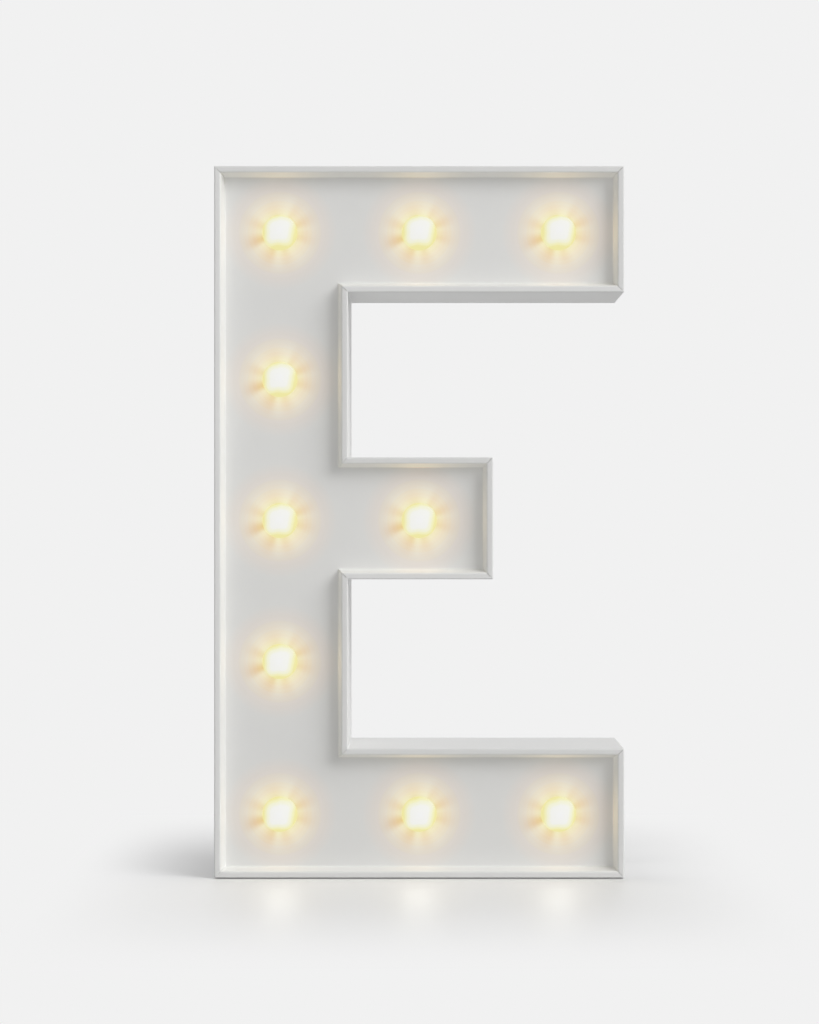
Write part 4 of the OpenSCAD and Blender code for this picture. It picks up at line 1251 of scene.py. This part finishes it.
def floor_share(tree, place, stage):
    """How much of the floor is left at a place, as it fades beside, before and behind the letter."""
    across, along, _ = split(tree, place)
    left = 1.0
    for distance, near, far in ((maths(tree, "ABSOLUTE", across), stage.side_near, stage.side_far),
                                (along, -stage.front_near, -stage.front_far),
                                (along, stage.back_near, stage.back_far)):
        left = maths(tree, "MULTIPLY", left, mapped(tree, distance, near, far, 1.0, 0.0, smooth=True))
    return left


def floor_material(stage, colours):
    """Pale, slightly glossy floor with a painted soft shade round the letter's foot, fading into the
    background.
    """
    material, tree, shader = new_material("floor")
    grain = add_grain(tree, shader, Colour=(*colours.floor, 1), Grain_Scale=300, Cloud_Scale=3,
                      Roughness=0.45, Spread=0.04)
    shader.inputs["Specular IOR Level"].default_value = 1.0
    seen = seen_directly(tree)
    place = add_node(tree, "ShaderNodeTexCoord").outputs["Object"]
    # Painted shade beside the letter's foot, fading with the distance from it
    beside = away_from_foot(tree, place, stage.contact_side)
    fall = maths(tree, "EXPONENT", maths(tree, "DIVIDE", beside, -stage.contact_reach))
    shade = maths(tree, "MULTIPLY", fall, stage.contact_shade)
    shaded = mixed(tree, shade, grain.outputs["Colour"], grey(0))
    tree.links.new(mixed(tree, seen, (*colours.floor_bounce, 1), shaded), shader.inputs["Base Color"])
    tree.links.new(mixed(tree, seen, grey(0), grey(stage.floor_lift)), shader.inputs["Emission Color"])
    shader.inputs["Emission Strength"].default_value = 1.0
    plain = add_node(tree, "ShaderNodeEmission")
    plain.inputs["Color"].default_value = grey(stage.background)
    faded = maths(tree, "SUBTRACT", 1.0, floor_share(tree, place, stage))
    blend = add_node(tree, "ShaderNodeMixShader")
    put(tree, blend.inputs[0], maths(tree, "MULTIPLY", faded, seen))
    tree.links.new(shader.outputs[0], blend.inputs[1])
    tree.links.new(plain.outputs[0], blend.inputs[2])
    tree.links.new(blend.outputs[0], tree.nodes["Material Output"].inputs["Surface"])
    return material


def make_floor(stage, colours):
    """A wide floor just under the letter's foot."""
    reach, level = stage.floor_reach, shell_low.z - stage.floor_gap
    corners = [(-reach, -reach, level), (reach, -reach, level), (reach, reach, level), (-reach, reach, level)]
    mesh = bpy.data.meshes.new("floor")
    mesh.from_pydata(corners, [], [(0, 1, 2, 3)])
    mesh.materials.append(floor_material(stage, colours))
    add_object("floor", mesh)


def add_light(name, watts, size, towards, distance):
    """A square light that faces the letter's middle."""
    data = bpy.data.lights.new(name, "AREA")
    data.energy = watts
    data.size = size
    light = add_object(name, data)
    aim = Vector(towards).normalized()
    light.location = (shell_low + shell_high) / 2 + aim * distance
    light.rotation_euler = aim.to_track_quat("Z", "Y").to_euler()
    return light


def make_light(stage):
    """Even light from all around, a soft key light from the upper right and two weaker fills."""
    world = bpy.data.worlds.new("studio")
    bpy.context.scene.world = world
    world.use_nodes = True
    tree = world.node_tree
    shade = mixed(tree, seen_directly(tree), grey(stage.ambient), grey(stage.background))
    tree.links.new(shade, tree.nodes["Background"].inputs["Color"])
    add_light("key", stage.key_power, stage.key_size, stage.key_direction, stage.light_distance)
    add_light("fill", stage.fill_power, stage.fill_size, stage.fill_direction, stage.light_distance)
    rear = add_light("rear", stage.rear_power, stage.fill_size, stage.rear_direction, stage.light_distance)
    rear.visible_glossy = False


def make_camera(stage):
    """A camera that looks straight at the letter's front."""
    data = bpy.data.cameras.new("camera")
    data.sensor_fit = "VERTICAL"
    data.sensor_height = 36
    data.lens = stage.lens
    data.shift_x, data.shift_y = stage.shift_right, stage.shift_up
    camera = add_object("camera", data)
    middle = (shell_low.x + shell_high.x) / 2
    camera.location = (middle + stage.camera_side, shell_low.y - stage.camera_distance, stage.camera_height)
    camera.rotation_euler = (math.pi / 2, 0, 0)
    bpy.context.scene.camera = camera


class LETTER_OT_stage(bpy.types.Operator):
    """Make the floor, the light and the camera"""

    bl_idname = "letter.stage"
    bl_label = "Studio stage"

    def execute(self, context):
        scene = context.scene
        make_floor(scene.letter_stage, scene.letter_colours)
        make_light(scene.letter_stage)
        make_camera(scene.letter_stage)
        scene.view_settings.view_transform = "Standard"
        return {"FINISHED"}


class LETTER_PT_panel(bpy.types.Panel):
    """Lists the letter's pieces in the order in which they are made"""

    bl_label = "Light-up letter"
    bl_idname = "LETTER_PT_panel"
    bl_space_type = "VIEW_3D"
    bl_region_type = "UI"
    bl_category = "Letter"

    def draw(self, context):
        for operator in OPERATORS:
            self.layout.operator(operator.bl_idname)


OPERATORS = (LETTER_OT_shell, LETTER_OT_caps, LETTER_OT_back, LETTER_OT_screws, LETTER_OT_switch,
             LETTER_OT_power, LETTER_OT_wiring, LETTER_OT_stage)
SETTINGS = {"letter_sizes": LetterSizes, "letter_colours": LetterColours, "letter_stage": StageSettings}


def register():
    for settings in SETTINGS.values():
        bpy.utils.register_class(settings)
    for name, settings in SETTINGS.items():
        setattr(bpy.types.Scene, name, bpy.props.PointerProperty(type=settings))
    for kind in (*OPERATORS, LETTER_PT_panel):
        bpy.utils.register_class(kind)


def unregister():
    for kind in (LETTER_PT_panel, *reversed(OPERATORS)):
        bpy.utils.unregister_class(kind)
    for name, settings in SETTINGS.items():
        delattr(bpy.types.Scene, name)
        bpy.utils.unregister_class(settings)


def main():
    register()
    make_grain_group()
    for operator in OPERATORS:
        category, name = operator.bl_idname.split(".")
        getattr(getattr(bpy.ops, category), name)()


if __name__ == "__main__":
    main()
